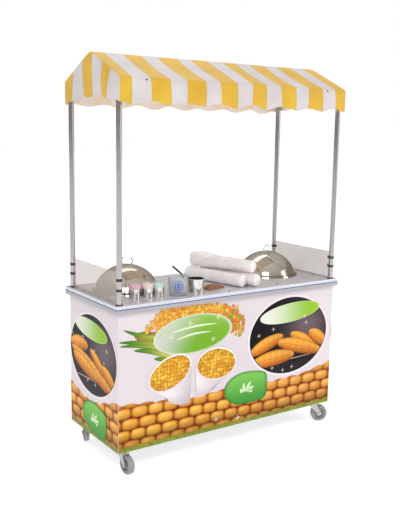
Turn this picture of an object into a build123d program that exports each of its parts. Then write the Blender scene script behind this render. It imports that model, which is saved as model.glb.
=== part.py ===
from build123d import *
import os
from math import atan2, cos, hypot, radians, sin, sqrt

os.makedirs("parts", exist_ok=True)

# Push vending cart for boiled corn, with a striped canopy, two domed pots and its serving kit.
# Millimetres.  Origin on the ground under the middle of the cart, +X to the customer's right,
# +Y towards the operator's side, +Z up.

# ---------------------------------------------------------------- driving dimensions
TRAY_LENGTH = 1500.0  # worktop, end to end
TRAY_DEPTH = 600.0  # worktop, front to back
WORKTOP_HEIGHT = 900.0  # top face of the worktop's sheet
SHEET = 1.5  # stainless sheet of worktop, shelf, straps and pots
RIM_WIDTH = 12.0  # raised edge round the worktop
RIM_RISE = 4.0
FASCIA_BOTTOM = 862.0
FASCIA_FOLD_TOP = 885.0  # the hemmed lower band of the fascia ends here
FOLD_PROUD = 1.5
TRAY_CORNER = 8.0

CABINET_OVERHANG = 21.0  # tray beyond the cabinet, all round
CASTER_HEIGHT = 130.0  # ground to the underside of the cabinet
PANEL = 3.0  # printed composite panels
TUBE = 20.0  # square tube of the chassis
TUBE_WALL = 1.5
BACK_RECESS = 27.0  # chassis back face behind the cabinet's back edge

POST_DIA = 28.0
POST_WALL = 1.5
POST_PLUG = 12.0
STUD_RADIUS = 4.0
STUD_LENGTH = 20.0
NUT_RADIUS = 7.5
NUT_HEIGHT = 6.0
COLLAR_RADIUS = 19.0
COLLAR_HEIGHT = 7.0
COLLAR_ROUND = 2.0

CANOPY_LENGTH = 1470.0
CANOPY_DEPTH = 610.0
EAVE_HEIGHT = 2005.0
RIDGE_HEIGHT = 2140.0
HEM_HEIGHT = 1881.0
COVER_THICKNESS = 2.5
RAIL_DIA = 22.0
RAIL_WALL = 1.5
SLEEVE_WALL = 1.8
SLEEVE_HEIGHT = 40.0

SCREEN_TOP = 1065.0
SCREEN_THICKNESS = 3.0  # clear acrylic
STRAP_HEIGHT = 14.0
STRAP_LEVELS = (978.0, 1030.0)
SCREEN_SCREW_INSET = 22.0  # from the post's centre line

WELL_X = 490.0
WELL_Y = 66.0
POT_RADIUS = 158.0
POT_DEPTH = 160.0
POT_RIM_RISE = 8.0
POT_BEVEL = 14.0
FLANGE_RADIUS = 192.0
FLANGE_TURN = 4.0
FLANGE_ROLL = 3.0
LID_RADIUS = 187.0
LID_DOME_RADIUS = 176.0
LID_HEIGHT = 132.0
LID_STEP = 9.0
LID_SHEET = 1.2
LID_HANDLE_TURN = (("left", -1, -35.0), ("right", 1, 17.0))  # directions of the two wire loops
HANDLE_WIRE = 6.0

CASTER_X = 666.0
CASTER_Y = 215.0
WHEEL_RADIUS = 50.0
WHEEL_WIDTH = 30.0
TRAIL = 38.0
TRAIL_ANGLES = {"front_left": -85.0, "front_right": -30.0, "back_left": 70.0, "back_right": 112.0}

DOOR_THICKNESS = 18.0
DOOR_BOTTOM = 140.0
DOOR_TOP = 757.0
HINGE_HEIGHTS = (200.0, 640.0)

# ---------------------------------------------------------------- clearances
TOUCH = 0.3  # between pieces of bodies that move apart
RUN = 0.05  # radial, in running fits
SLIP = 0.1  # radial, of fixed sleeves and collars
COVER_GAP = 0.5  # between the canopy cover and its rails
DOOR_GAP = 1.5

# ---------------------------------------------------------------- derived places
HALF_LENGTH = TRAY_LENGTH / 2 - CABINET_OVERHANG
HALF_DEPTH = TRAY_DEPTH / 2 - CABINET_OVERHANG
CHASSIS_X = HALF_LENGTH - PANEL
CHASSIS_FRONT = PANEL - HALF_DEPTH
CHASSIS_BACK = HALF_DEPTH - BACK_RECESS
SHEET_UNDER = WORKTOP_HEIGHT - SHEET
POST_RADIUS = POST_DIA / 2
POST_X = CHASSIS_X - TUBE / 2
POST_Y = -CHASSIS_FRONT - TUBE / 2
SIDES = (("left", -1), ("right", 1))
CORNERS = [(f"{end}_{side}", sx, sy) for end, sy in (("front", -1), ("back", 1)) for side, sx in SIDES]


def block(low, high, mode=Mode.ADD):
    """A block between two opposite corners, for use inside a part block."""
    middle = tuple((start + end) / 2 for start, end in zip(low, high))
    with Locations(middle):
        Box(*[end - start for start, end in zip(low, high)], mode=mode)


def upright(x, y, turn=0.0):
    """The vertical plane through a point of the ground, for profiles of radius and height."""
    direction = (cos(radians(turn)), sin(radians(turn)), 0)
    return Plane((x, y, 0), x_dir=direction, z_dir=(direction[1], -direction[0], 0))


def gather(pieces, name):
    """Write several separate solids as one labelled sub-part."""
    group = Compound(label=name, children=pieces)
    export_step(group, f"parts/{name}.step")


# ---------------------------------------------------------------- chassis of square tube
MOUNT_PLATE = 4.0  # plates under the corners, which the casters bolt to
CHASSIS_BOTTOM = CASTER_HEIGHT + MOUNT_PLATE
MOUNT_PLATE_LENGTH = 110.0
MID_RAIL_TOP = 765.0  # rail above the doors, behind the control panel
SHELF_HEIGHT = 621.5  # top face of the burner shelf
SHELF_LIP = 20.0
BOLT_PITCH = (60.0, 46.0)
BOLT_RADIUS = 4.0
BOLT_CLEAR = 0.25


def chassis_tubes():
    """Low corner, high corner and axis of each tube: uprights, side rails, then long rails."""
    x_in = CHASSIS_X - TUBE
    low_rail = CHASSIS_BOTTOM
    top_rail = SHEET_UNDER - TUBE
    tubes = []
    for sx in (-1, 1):
        x_low = min(sx * x_in, sx * CHASSIS_X)
        for y_low in (CHASSIS_FRONT, CHASSIS_BACK - TUBE):
            high = (x_low + TUBE, y_low + TUBE, SHEET_UNDER)
            tubes.append(((x_low, y_low, CHASSIS_BOTTOM), high, 2))
        for z_low in (low_rail, SHELF_HEIGHT - SHEET - TUBE, top_rail):
            high = (x_low + TUBE, CHASSIS_BACK - TUBE, z_low + TUBE)
            tubes.append(((x_low, CHASSIS_FRONT + TUBE, z_low), high, 1))
    long_rails = [(y, z) for y in (CHASSIS_FRONT, CHASSIS_BACK - TUBE) for z in (low_rail, top_rail)]
    long_rails.append((CHASSIS_BACK - TUBE, MID_RAIL_TOP - TUBE))
    for y_low, z_low in long_rails:
        tubes.append(((-x_in, y_low, z_low), (x_in, y_low + TUBE, z_low + TUBE), 0))
    stile_low = (-TUBE / 2, CHASSIS_FRONT, low_rail + TUBE)
    tubes.append((stile_low, (TUBE / 2, CHASSIS_FRONT + TUBE, top_rail), 2))
    return tubes


chassis_pieces = []
for tube_low, tube_high, tube_axis in chassis_tubes():
    hollow_low = [value + TUBE_WALL for value in tube_low]
    hollow_high = [value - TUBE_WALL for value in tube_high]
    hollow_low[tube_axis] = tube_low[tube_axis]
    hollow_high[tube_axis] = tube_high[tube_axis]
    with BuildPart() as chassis_tube:
        block(tube_low, tube_high)
        block(hollow_low, hollow_high, mode=Mode.SUBTRACT)
    chassis_pieces.append(chassis_tube.part)

for corner, sx, sy in CORNERS:
    y_edge = CHASSIS_FRONT if sy < 0 else CHASSIS_BACK
    y_inner = y_edge - sy * MOUNT_PLATE_LENGTH
    x_inner = CHASSIS_X - MOUNT_PLATE_LENGTH
    plate_low = (min(sx * x_inner, sx * CHASSIS_X), min(y_edge, y_inner), CASTER_HEIGHT)
    plate_high = (max(sx * x_inner, sx * CHASSIS_X), max(y_edge, y_inner), CHASSIS_BOTTOM)
    with BuildPart() as mount_plate:
        block(plate_low, plate_high)
        with Locations((sx * CASTER_X, sy * CASTER_Y, CHASSIS_BOTTOM)):
            with GridLocations(*BOLT_PITCH, 2, 2):
                Hole(radius=BOLT_RADIUS + BOLT_CLEAR)
    chassis_pieces.append(mount_plate.part)

gather(chassis_pieces, "chassis_frame")

# ---------------------------------------------------------------- floor deck and burner shelf
DECK_Z = CHASSIS_BOTTOM + TUBE
NOTCH = TUBE + COVER_GAP

with BuildPart() as floor_deck:
    block((-CHASSIS_X, CHASSIS_FRONT, DECK_Z), (CHASSIS_X, CHASSIS_BACK, DECK_Z + SHEET))
    notch_x = CHASSIS_X - NOTCH / 2
    for notch_y in (CHASSIS_FRONT + NOTCH / 2, CHASSIS_BACK - NOTCH / 2):
        with Locations((-notch_x, notch_y, DECK_Z), (notch_x, notch_y, DECK_Z)):
            Box(NOTCH, NOTCH, 4 * SHEET, mode=Mode.SUBTRACT)
    with Locations((0, CHASSIS_FRONT + NOTCH / 2, DECK_Z)):
        Box(TUBE + 2 * COVER_GAP, NOTCH, 4 * SHEET, mode=Mode.SUBTRACT)
floor_deck.part.label = "floor_deck"
export_step(floor_deck.part, "parts/floor_deck.step")

with BuildPart() as burner_shelf:
    shelf_low = CHASSIS_FRONT + NOTCH
    shelf_high = CHASSIS_BACK - NOTCH
    shelf_x = CHASSIS_X - NOTCH
    block((-CHASSIS_X, shelf_low, SHELF_HEIGHT - SHEET), (CHASSIS_X, shelf_high, SHELF_HEIGHT))
    for lip_y in (shelf_low, shelf_high - SHEET):
        block((-shelf_x, lip_y, SHELF_HEIGHT), (shelf_x, lip_y + SHEET, SHELF_HEIGHT + SHELF_LIP))
burner_shelf.part.label = "burner_shelf"
export_step(burner_shelf.part, "parts/burner_shelf.step")

# ---------------------------------------------------------------- printed cabinet panels
with BuildPart() as front_panel:
    panel_low = (-HALF_LENGTH, -HALF_DEPTH, CASTER_HEIGHT)
    block(panel_low, (HALF_LENGTH, CHASSIS_FRONT, FASCIA_BOTTOM))
front_panel.part.label = "front_panel"
export_step(front_panel.part, "parts/front_panel.step")

for side, sx in SIDES:
    with BuildPart() as side_panel:
        x_low = min(sx * CHASSIS_X, sx * HALF_LENGTH)
        panel_low = (x_low, CHASSIS_FRONT, CASTER_HEIGHT)
        block(panel_low, (x_low + PANEL, HALF_DEPTH, FASCIA_BOTTOM))
    side_panel.part.label = f"{side}_panel"
    export_step(side_panel.part, f"parts/{side}_panel.step")

# ---------------------------------------------------------------- control panel
KNOB_Z = 811.0
STEM_RADIUS = 4.0
STEM_REACH = 16.0
STEM_HOLE = 6.0
CONTROL_GAP = 4.0

with BuildPart() as control_panel:
    control_low = (-CHASSIS_X + COVER_GAP, CHASSIS_BACK, DOOR_TOP + CONTROL_GAP)
    control_high = (CHASSIS_X - COVER_GAP, CHASSIS_BACK + PANEL, FASCIA_BOTTOM - COVER_GAP)
    block(control_low, control_high)
    with BuildSketch(Plane.XZ.offset(-CHASSIS_BACK - PANEL)):
        with Locations((-WELL_X, KNOB_Z), (WELL_X, KNOB_Z)):
            Circle(STEM_HOLE)
    extrude(amount=PANEL, mode=Mode.SUBTRACT)
control_panel.part.label = "control_panel"
export_step(control_panel.part, "parts/control_panel.step")

# ---------------------------------------------------------------- worktop
WELL_GAP = 2.0
UPPER_LENGTH = TRAY_LENGTH - 2 * FOLD_PROUD
UPPER_DEPTH = TRAY_DEPTH - 2 * FOLD_PROUD
RIM_ROUND = 3.0
SCREW_HOLE = 2.2
TRAY_SCREWS = [(sx * 702.0, y) for sx in (-1, 1) for y in (-130.0, 150.0)]
TRAY_SCREWS += [(333.0, -223.0), (-30.0, -255.0)]

with BuildPart() as worktop:
    with BuildSketch(Plane.XY.offset(FASCIA_BOTTOM)):
        RectangleRounded(TRAY_LENGTH, TRAY_DEPTH, TRAY_CORNER)
    extrude(amount=FASCIA_FOLD_TOP - FASCIA_BOTTOM)
    with BuildSketch(Plane.XY.offset(FASCIA_FOLD_TOP)):
        RectangleRounded(UPPER_LENGTH, UPPER_DEPTH, TRAY_CORNER)
    extrude(amount=WORKTOP_HEIGHT + RIM_RISE - FASCIA_FOLD_TOP)
    fillet(worktop.edges().group_by(Axis.Z)[-1], radius=RIM_ROUND)
    with BuildSketch(Plane.XY.offset(WORKTOP_HEIGHT)):
        RectangleRounded(UPPER_LENGTH - 2 * RIM_WIDTH, UPPER_DEPTH - 2 * RIM_WIDTH, TRAY_CORNER)
    extrude(amount=RIM_RISE, mode=Mode.SUBTRACT)
    with BuildSketch(Plane.XY.offset(FASCIA_BOTTOM)):
        RectangleRounded(UPPER_LENGTH - 2 * SHEET, UPPER_DEPTH - 2 * SHEET, TRAY_CORNER - SHEET)
    extrude(amount=SHEET_UNDER - FASCIA_BOTTOM, mode=Mode.SUBTRACT)
    with Locations((-WELL_X, WELL_Y, WORKTOP_HEIGHT), (WELL_X, WELL_Y, WORKTOP_HEIGHT)):
        Hole(radius=POT_RADIUS + WELL_GAP)
    with Locations((0, 0, WORKTOP_HEIGHT)):
        with GridLocations(2 * POST_X, 2 * POST_Y, 2, 2):
            Hole(radius=STUD_RADIUS + SLIP)
    with Locations([(x, y, WORKTOP_HEIGHT) for x, y in TRAY_SCREWS]):
        Hole(radius=SCREW_HOLE)
worktop.part.label = "worktop"
export_step(worktop.part, "parts/worktop.step")

# ---------------------------------------------------------------- gas burners and their rigid pipes
MANIFOLD_RADIUS = 8.0
MANIFOLD_HALF = 560.0
MANIFOLD_Y = CHASSIS_BACK - 12.0
VALVE_RADIUS = 11.0
PIPE_RADIUS = 5.0
PIPE_BEND = 20.0
PIPE_X = WELL_X - 180.0
PIPE_Y = CHASSIS_BACK - 47.0
PIPE_Z = SHELF_HEIGHT + 28.0
BURNER_STEM = 18.0
# radius, and height above the shelf, round one burner
BURNER_PROFILE = (
    (0.0, 0.0),
    (42.0, 0.0),
    (42.0, 6.0),
    (BURNER_STEM, 12.0),
    (BURNER_STEM, 46.0),
    (58.0, 64.0),
    (62.0, 72.0),
    (56.0, 84.0),
    (22.0, 84.0),
    (16.0, 74.0),
    (0.0, 74.0),
)
BARB_RADIUS = 5.0
BARB_LENGTH = 26.0

burner_pieces = []
with BuildPart() as manifold:
    with BuildSketch(Plane.YZ.offset(-MANIFOLD_HALF)):
        with Locations((MANIFOLD_Y, KNOB_Z)):
            Circle(MANIFOLD_RADIUS)
    extrude(amount=2 * MANIFOLD_HALF)
    with BuildSketch(Plane.YZ.offset(MANIFOLD_HALF)):
        with Locations((MANIFOLD_Y, KNOB_Z)):
            Circle(BARB_RADIUS)
    extrude(amount=BARB_LENGTH)
    for sx in (-1, 1):
        valve_length = CHASSIS_BACK - MANIFOLD_Y
        with BuildSketch(Plane.XZ.offset(-MANIFOLD_Y)):
            with Locations((sx * WELL_X, KNOB_Z)):
                Circle(VALVE_RADIUS)
        extrude(amount=-valve_length)
        with BuildSketch(Plane.XZ.offset(-CHASSIS_BACK)):
            with Locations((sx * WELL_X, KNOB_Z)):
                Circle(STEM_RADIUS)
        extrude(amount=-(PANEL + STEM_REACH))
burner_pieces.append(manifold.part)

for sx in (-1, 1):
    burner_x = sx * WELL_X
    pipe_x = sx * PIPE_X
    pipe_start = MANIFOLD_Y - MANIFOLD_RADIUS
    with BuildPart() as supply_pipe:
        with BuildLine() as supply_path:
            FilletPolyline(
                (pipe_x, pipe_start, KNOB_Z),
                (pipe_x, PIPE_Y, KNOB_Z),
                (pipe_x, PIPE_Y, PIPE_Z),
                (pipe_x, WELL_Y, PIPE_Z),
                (sx * (WELL_X - BURNER_STEM), WELL_Y, PIPE_Z),
                radius=PIPE_BEND,
            )
        with BuildSketch(Plane((pipe_x, pipe_start, KNOB_Z), z_dir=(0, -1, 0))):
            Circle(PIPE_RADIUS)
        sweep(path=supply_path.line)
    burner_pieces.append(supply_pipe.part)
    with BuildPart() as burner:
        with BuildSketch(upright(burner_x, WELL_Y)):
            with BuildLine():
                Polyline(*[(radius, SHELF_HEIGHT + rise) for radius, rise in BURNER_PROFILE], close=True)
            make_face()
        revolve(axis=Axis((burner_x, WELL_Y, 0), (0, 0, 1)))
    burner_pieces.append(burner.part)
gather(burner_pieces, "gas_burners")

KNOB_RADIUS = 21.0
KNOB_LENGTH = 18.0
KNOB_GRIP = 7.0
KNOB_GRIP_WIDTH = 8.0
KNOB_GRIP_LENGTH = 35.7
KNOB_TAPER = 4.0
KNOB_ROUND = 1.5

for side, sx in SIDES:
    knob_face = CHASSIS_BACK + PANEL + TOUCH
    with BuildPart() as gas_knob:
        with BuildSketch(Plane.XZ.offset(-knob_face)):
            with Locations((sx * WELL_X, KNOB_Z)):
                Circle(KNOB_RADIUS)
        extrude(amount=-KNOB_LENGTH, taper=KNOB_TAPER)
        with BuildSketch(Plane.XZ.offset(-knob_face - KNOB_LENGTH)):
            with Locations((sx * WELL_X, KNOB_Z)):
                RectangleRounded(KNOB_GRIP_WIDTH, KNOB_GRIP_LENGTH, KNOB_ROUND)
        extrude(amount=-KNOB_GRIP)
        with BuildSketch(Plane.XZ.offset(-knob_face)):
            with Locations((sx * WELL_X, KNOB_Z)):
                Circle(STEM_RADIUS + RUN)
        extrude(amount=-(STEM_REACH + TOUCH), mode=Mode.SUBTRACT)
    gas_knob.part.label = f"gas_knob_{side}"
    export_step(gas_knob.part, f"parts/gas_knob_{side}.step")

# ---------------------------------------------------------------- doors, hinges and handles
DOOR_BACK = CHASSIS_BACK + 1.0
DOOR_FACE = DOOR_BACK + DOOR_THICKNESS
DOOR_WALL = 3.0
DOOR_EDGE = CHASSIS_X - 2.0
KNUCKLE_RADIUS = 4.0
PIN_RADIUS = 2.0
KNUCKLE_INSET = 1.3
PIN_X = CHASSIS_X - KNUCKLE_INSET - KNUCKLE_RADIUS
PIN_Y = DOOR_FACE + KNUCKLE_RADIUS
KNUCKLE = 20.0
HINGE_LENGTH = 3 * KNUCKLE
LEAF = 1.0
LEAF_SETBACK = 3.0
DOOR_LEAF = 1.5
DOOR_LEAF_WIDTH = 28.0
PULL_X = 45.0
PULL_LOW = 480.0
PULL_LENGTH = 128.0
PULL_REACH = 28.0
PULL_RADIUS = 4.0
PULL_BEND = 10.0

hinge_pieces = []
for side, sx in SIDES:
    for hinge_z in HINGE_HEIGHTS:
        with BuildPart() as hinge:
            leaf_x = sorted((sx * CHASSIS_X, sx * (CHASSIS_X - LEAF)))
            leaf_low = (leaf_x[0], DOOR_BACK + LEAF_SETBACK, hinge_z)
            block(leaf_low, (leaf_x[1], DOOR_FACE, hinge_z + HINGE_LENGTH))
            arm_x = sorted((sx * CHASSIS_X, sx * PIN_X))
            for arm_z in (hinge_z, hinge_z + 2 * KNUCKLE):
                arm_low = (arm_x[0], DOOR_FACE + TOUCH, arm_z)
                block(arm_low, (arm_x[1], PIN_Y, arm_z + KNUCKLE))
                block((leaf_x[0], DOOR_FACE, arm_z), (leaf_x[1], PIN_Y, arm_z + KNUCKLE))
                with BuildSketch(Plane((sx * PIN_X, PIN_Y, arm_z))):
                    Circle(KNUCKLE_RADIUS - TOUCH)
                extrude(amount=KNUCKLE)
            with BuildSketch(Plane((sx * PIN_X, PIN_Y, hinge_z))):
                Circle(PIN_RADIUS)
            extrude(amount=HINGE_LENGTH)
        hinge_pieces.append(hinge.part)
gather(hinge_pieces, "door_hinges")

for side, sx in SIDES:
    door_x = sorted((sx * DOOR_EDGE, sx * DOOR_GAP))
    door_pieces = []
    with BuildPart() as door_pan:
        block((door_x[0], DOOR_BACK, DOOR_BOTTOM), (door_x[1], DOOR_FACE, DOOR_TOP))
        hollow_low = (door_x[0] + DOOR_WALL, DOOR_BACK, DOOR_BOTTOM + DOOR_WALL)
        hollow_high = (door_x[1] - DOOR_WALL, DOOR_FACE - DOOR_WALL, DOOR_TOP - DOOR_WALL)
        block(hollow_low, hollow_high, mode=Mode.SUBTRACT)
    door_pieces.append(door_pan.part)
    for hinge_z in HINGE_HEIGHTS:
        with BuildPart() as door_leaf:
            inner_x = PIN_X - KNUCKLE_RADIUS - TOUCH
            plate_x = sorted((sx * inner_x, sx * (inner_x - DOOR_LEAF_WIDTH)))
            plate_high = (plate_x[1], DOOR_FACE + DOOR_LEAF, hinge_z + HINGE_LENGTH)
            block((plate_x[0], DOOR_FACE, hinge_z), plate_high)
            bridge_x = sorted((sx * inner_x, sx * PIN_X))
            bridge_z = (hinge_z + KNUCKLE + TOUCH, hinge_z + 2 * KNUCKLE - TOUCH)
            bridge_high = (bridge_x[1], DOOR_FACE + DOOR_LEAF, bridge_z[1])
            block((bridge_x[0], DOOR_FACE, bridge_z[0]), bridge_high)
            with BuildSketch(Plane((sx * PIN_X, PIN_Y, bridge_z[0]))):
                Circle(KNUCKLE_RADIUS)
            extrude(amount=bridge_z[1] - bridge_z[0])
            with BuildSketch(Plane((sx * PIN_X, PIN_Y, bridge_z[0]))):
                Circle(PIN_RADIUS + RUN)
            extrude(amount=bridge_z[1] - bridge_z[0], mode=Mode.SUBTRACT)
        door_pieces.append(door_leaf.part)
    gather(door_pieces, f"door_{side}")

    with BuildPart() as door_handle:
        with BuildLine() as pull_path:
            FilletPolyline(
                (sx * PULL_X, DOOR_FACE, PULL_LOW),
                (sx * PULL_X, DOOR_FACE + PULL_REACH, PULL_LOW),
                (sx * PULL_X, DOOR_FACE + PULL_REACH, PULL_LOW + PULL_LENGTH),
                (sx * PULL_X, DOOR_FACE, PULL_LOW + PULL_LENGTH),
                radius=PULL_BEND,
            )
        with BuildSketch(Plane((sx * PULL_X, DOOR_FACE, PULL_LOW), z_dir=(0, 1, 0))):
            Circle(PULL_RADIUS)
        sweep(path=pull_path.line)
    door_handle.part.label = f"door_handle_{side}"
    export_step(door_handle.part, f"parts/door_handle_{side}.step")

# ---------------------------------------------------------------- canopy frame
SLOPE = atan2(RIDGE_HEIGHT - EAVE_HEIGHT, CANOPY_DEPTH / 2)
RAIL_RADIUS = RAIL_DIA / 2
RAIL_INSET = RAIL_RADIUS + COVER_GAP + COVER_THICKNESS
EAVE_RAIL_Y = CANOPY_DEPTH / 2 - RAIL_INSET
EAVE_RAIL_Z = EAVE_HEIGHT - RAIL_INSET * (1 - sin(SLOPE)) / cos(SLOPE)
RIDGE_RAIL_Z = RIDGE_HEIGHT - RAIL_INSET / cos(SLOPE)
RAIL_HALF = CANOPY_LENGTH / 2 - COVER_THICKNESS - COVER_GAP
TIE_UNDER = EAVE_RAIL_Z - RAIL_RADIUS
RAFTER_X = POST_X - RAIL_DIA - SLIP
RAFTER_LENGTH = hypot(EAVE_RAIL_Y, RIDGE_RAIL_Z - EAVE_RAIL_Z) - RAIL_DIA


def round_tube(start, direction, length):
    """A canopy tube of the common section, from a point along a direction."""
    with BuildPart() as tube:
        with BuildSketch(Plane(start, z_dir=direction)):
            Circle(RAIL_RADIUS)
            Circle(RAIL_RADIUS - RAIL_WALL, mode=Mode.SUBTRACT)
        extrude(amount=length)
    return tube.part


roof_pieces = [round_tube((-RAIL_HALF, 0, RIDGE_RAIL_Z), (1, 0, 0), 2 * RAIL_HALF)]
for sy in (-1, 1):
    roof_pieces.append(round_tube((-RAIL_HALF, sy * EAVE_RAIL_Y, EAVE_RAIL_Z), (1, 0, 0), 2 * RAIL_HALF))
    for rafter_x in (-RAFTER_X, 0.0, RAFTER_X):
        upward = (0, -sy * cos(SLOPE), sin(SLOPE))
        foot_y = sy * (EAVE_RAIL_Y - RAIL_RADIUS * cos(SLOPE))
        foot_z = EAVE_RAIL_Z + RAIL_RADIUS * sin(SLOPE)
        roof_pieces.append(round_tube((rafter_x, foot_y, foot_z), upward, RAFTER_LENGTH))
for sx in (-1, 1):
    tie_start = (sx * POST_X, RAIL_RADIUS - EAVE_RAIL_Y, EAVE_RAIL_Z)
    roof_pieces.append(round_tube(tie_start, (0, 1, 0), 2 * (EAVE_RAIL_Y - RAIL_RADIUS)))
for corner, sx, sy in CORNERS:
    with BuildPart() as post_sleeve:
        with BuildSketch(Plane((sx * POST_X, sy * POST_Y, TIE_UNDER - SLEEVE_HEIGHT))):
            Circle(POST_RADIUS + SLIP + SLEEVE_WALL)
            Circle(POST_RADIUS + SLIP, mode=Mode.SUBTRACT)
        extrude(amount=SLEEVE_HEIGHT)
    roof_pieces.append(post_sleeve.part)
gather(roof_pieces, "roof_frame")

# ---------------------------------------------------------------- canopy cover, open underneath
CANOPY_SCREW_X = 589.0
half_canopy = CANOPY_DEPTH / 2
inner_half = half_canopy - COVER_THICKNESS
inner_ridge = RIDGE_HEIGHT - COVER_THICKNESS / cos(SLOPE)
inner_eave = inner_ridge - inner_half * (RIDGE_HEIGHT - EAVE_HEIGHT) / half_canopy
inner_length = CANOPY_LENGTH - 2 * COVER_THICKNESS

with BuildPart() as canopy_cover:
    with BuildSketch(Plane.YZ.offset(-CANOPY_LENGTH / 2)):
        with BuildLine():
            Polyline(
                (-half_canopy, HEM_HEIGHT),
                (-half_canopy, EAVE_HEIGHT),
                (0, RIDGE_HEIGHT),
                (half_canopy, EAVE_HEIGHT),
                (half_canopy, HEM_HEIGHT),
                close=True,
            )
        make_face()
    extrude(amount=CANOPY_LENGTH)
    with BuildSketch(Plane.YZ.offset(-inner_length / 2)):
        with BuildLine():
            Polyline(
                (-inner_half, HEM_HEIGHT),
                (-inner_half, inner_eave),
                (0, inner_ridge),
                (inner_half, inner_eave),
                (inner_half, HEM_HEIGHT),
                close=True,
            )
        make_face()
    extrude(amount=inner_length, mode=Mode.SUBTRACT)
    with BuildSketch(Plane.XZ.offset(half_canopy)):
        with Locations((-CANOPY_SCREW_X, EAVE_RAIL_Z), (CANOPY_SCREW_X, EAVE_RAIL_Z)):
            Circle(SCREW_HOLE)
    extrude(amount=-CANOPY_DEPTH, mode=Mode.SUBTRACT)
canopy_cover.part.label = "canopy_cover"
export_step(canopy_cover.part, "parts/canopy_cover.step")

# ---------------------------------------------------------------- posts and collars
collar_pieces = []
for corner, sx, sy in CORNERS:
    foot = (sx * POST_X, sy * POST_Y, WORKTOP_HEIGHT)
    with BuildPart() as post:
        with BuildSketch(Plane(foot)):
            Circle(POST_RADIUS)
        extrude(amount=TIE_UNDER - WORKTOP_HEIGHT)
        with BuildSketch(Plane(foot).offset(POST_PLUG)):
            Circle(POST_RADIUS - POST_WALL)
        extrude(amount=TIE_UNDER - WORKTOP_HEIGHT - POST_PLUG, mode=Mode.SUBTRACT)
        with BuildSketch(Plane(foot)):
            Circle(STUD_RADIUS)
        extrude(amount=-STUD_LENGTH)
    post.part.label = f"post_{corner}"
    export_step(post.part, f"parts/post_{corner}.step")
    with BuildPart() as collar:
        with BuildSketch(Plane(foot)):
            Circle(COLLAR_RADIUS)
        extrude(amount=COLLAR_HEIGHT)
        fillet(collar.edges().group_by(Axis.Z)[-1], radius=COLLAR_ROUND)
        with BuildSketch(Plane(foot)):
            Circle(POST_RADIUS + SLIP)
        extrude(amount=COLLAR_HEIGHT, mode=Mode.SUBTRACT)
    collar_pieces.append(collar.part)
gather(collar_pieces, "post_collars")

# ---------------------------------------------------------------- clear side screens between the posts
SCREEN_EDGE = POST_Y - POST_RADIUS - SHEET - 2 * SLIP
SCREEN_SCREW_Y = POST_Y - SCREEN_SCREW_INSET

for side, sx in SIDES:
    x_mid = sx * POST_X
    with BuildPart() as screen:
        screen_low = (x_mid - SCREEN_THICKNESS / 2, -SCREEN_EDGE, WORKTOP_HEIGHT)
        block(screen_low, (x_mid + SCREEN_THICKNESS / 2, SCREEN_EDGE, SCREEN_TOP))
        with BuildSketch(Plane.XY.offset(WORKTOP_HEIGHT)):
            with Locations((x_mid, -POST_Y), (x_mid, POST_Y)):
                Circle(COLLAR_RADIUS + SLIP)
        extrude(amount=COLLAR_HEIGHT + SLIP, mode=Mode.SUBTRACT)
        with BuildSketch(Plane.YZ.offset(x_mid - SCREEN_THICKNESS)):
            with Locations([(y, z) for y in (-SCREEN_SCREW_Y, SCREEN_SCREW_Y) for z in STRAP_LEVELS]):
                Circle(SCREW_HOLE)
        extrude(amount=2 * SCREEN_THICKNESS, mode=Mode.SUBTRACT)
    screen.part.label = f"{side}_screen"
    export_step(screen.part, f"parts/{side}_screen.step")

# ---------------------------------------------------------------- dark fixings: screws, nuts, straps
SCREW_RADIUS = 2.0
HEAD_RADIUS = 5.0
HEAD_HEIGHT = 2.4
SHANK_END = 3.0
TAB_MARGIN = 6.0
TAB_ROOT = POST_RADIUS + SLIP + COVER_GAP

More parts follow.
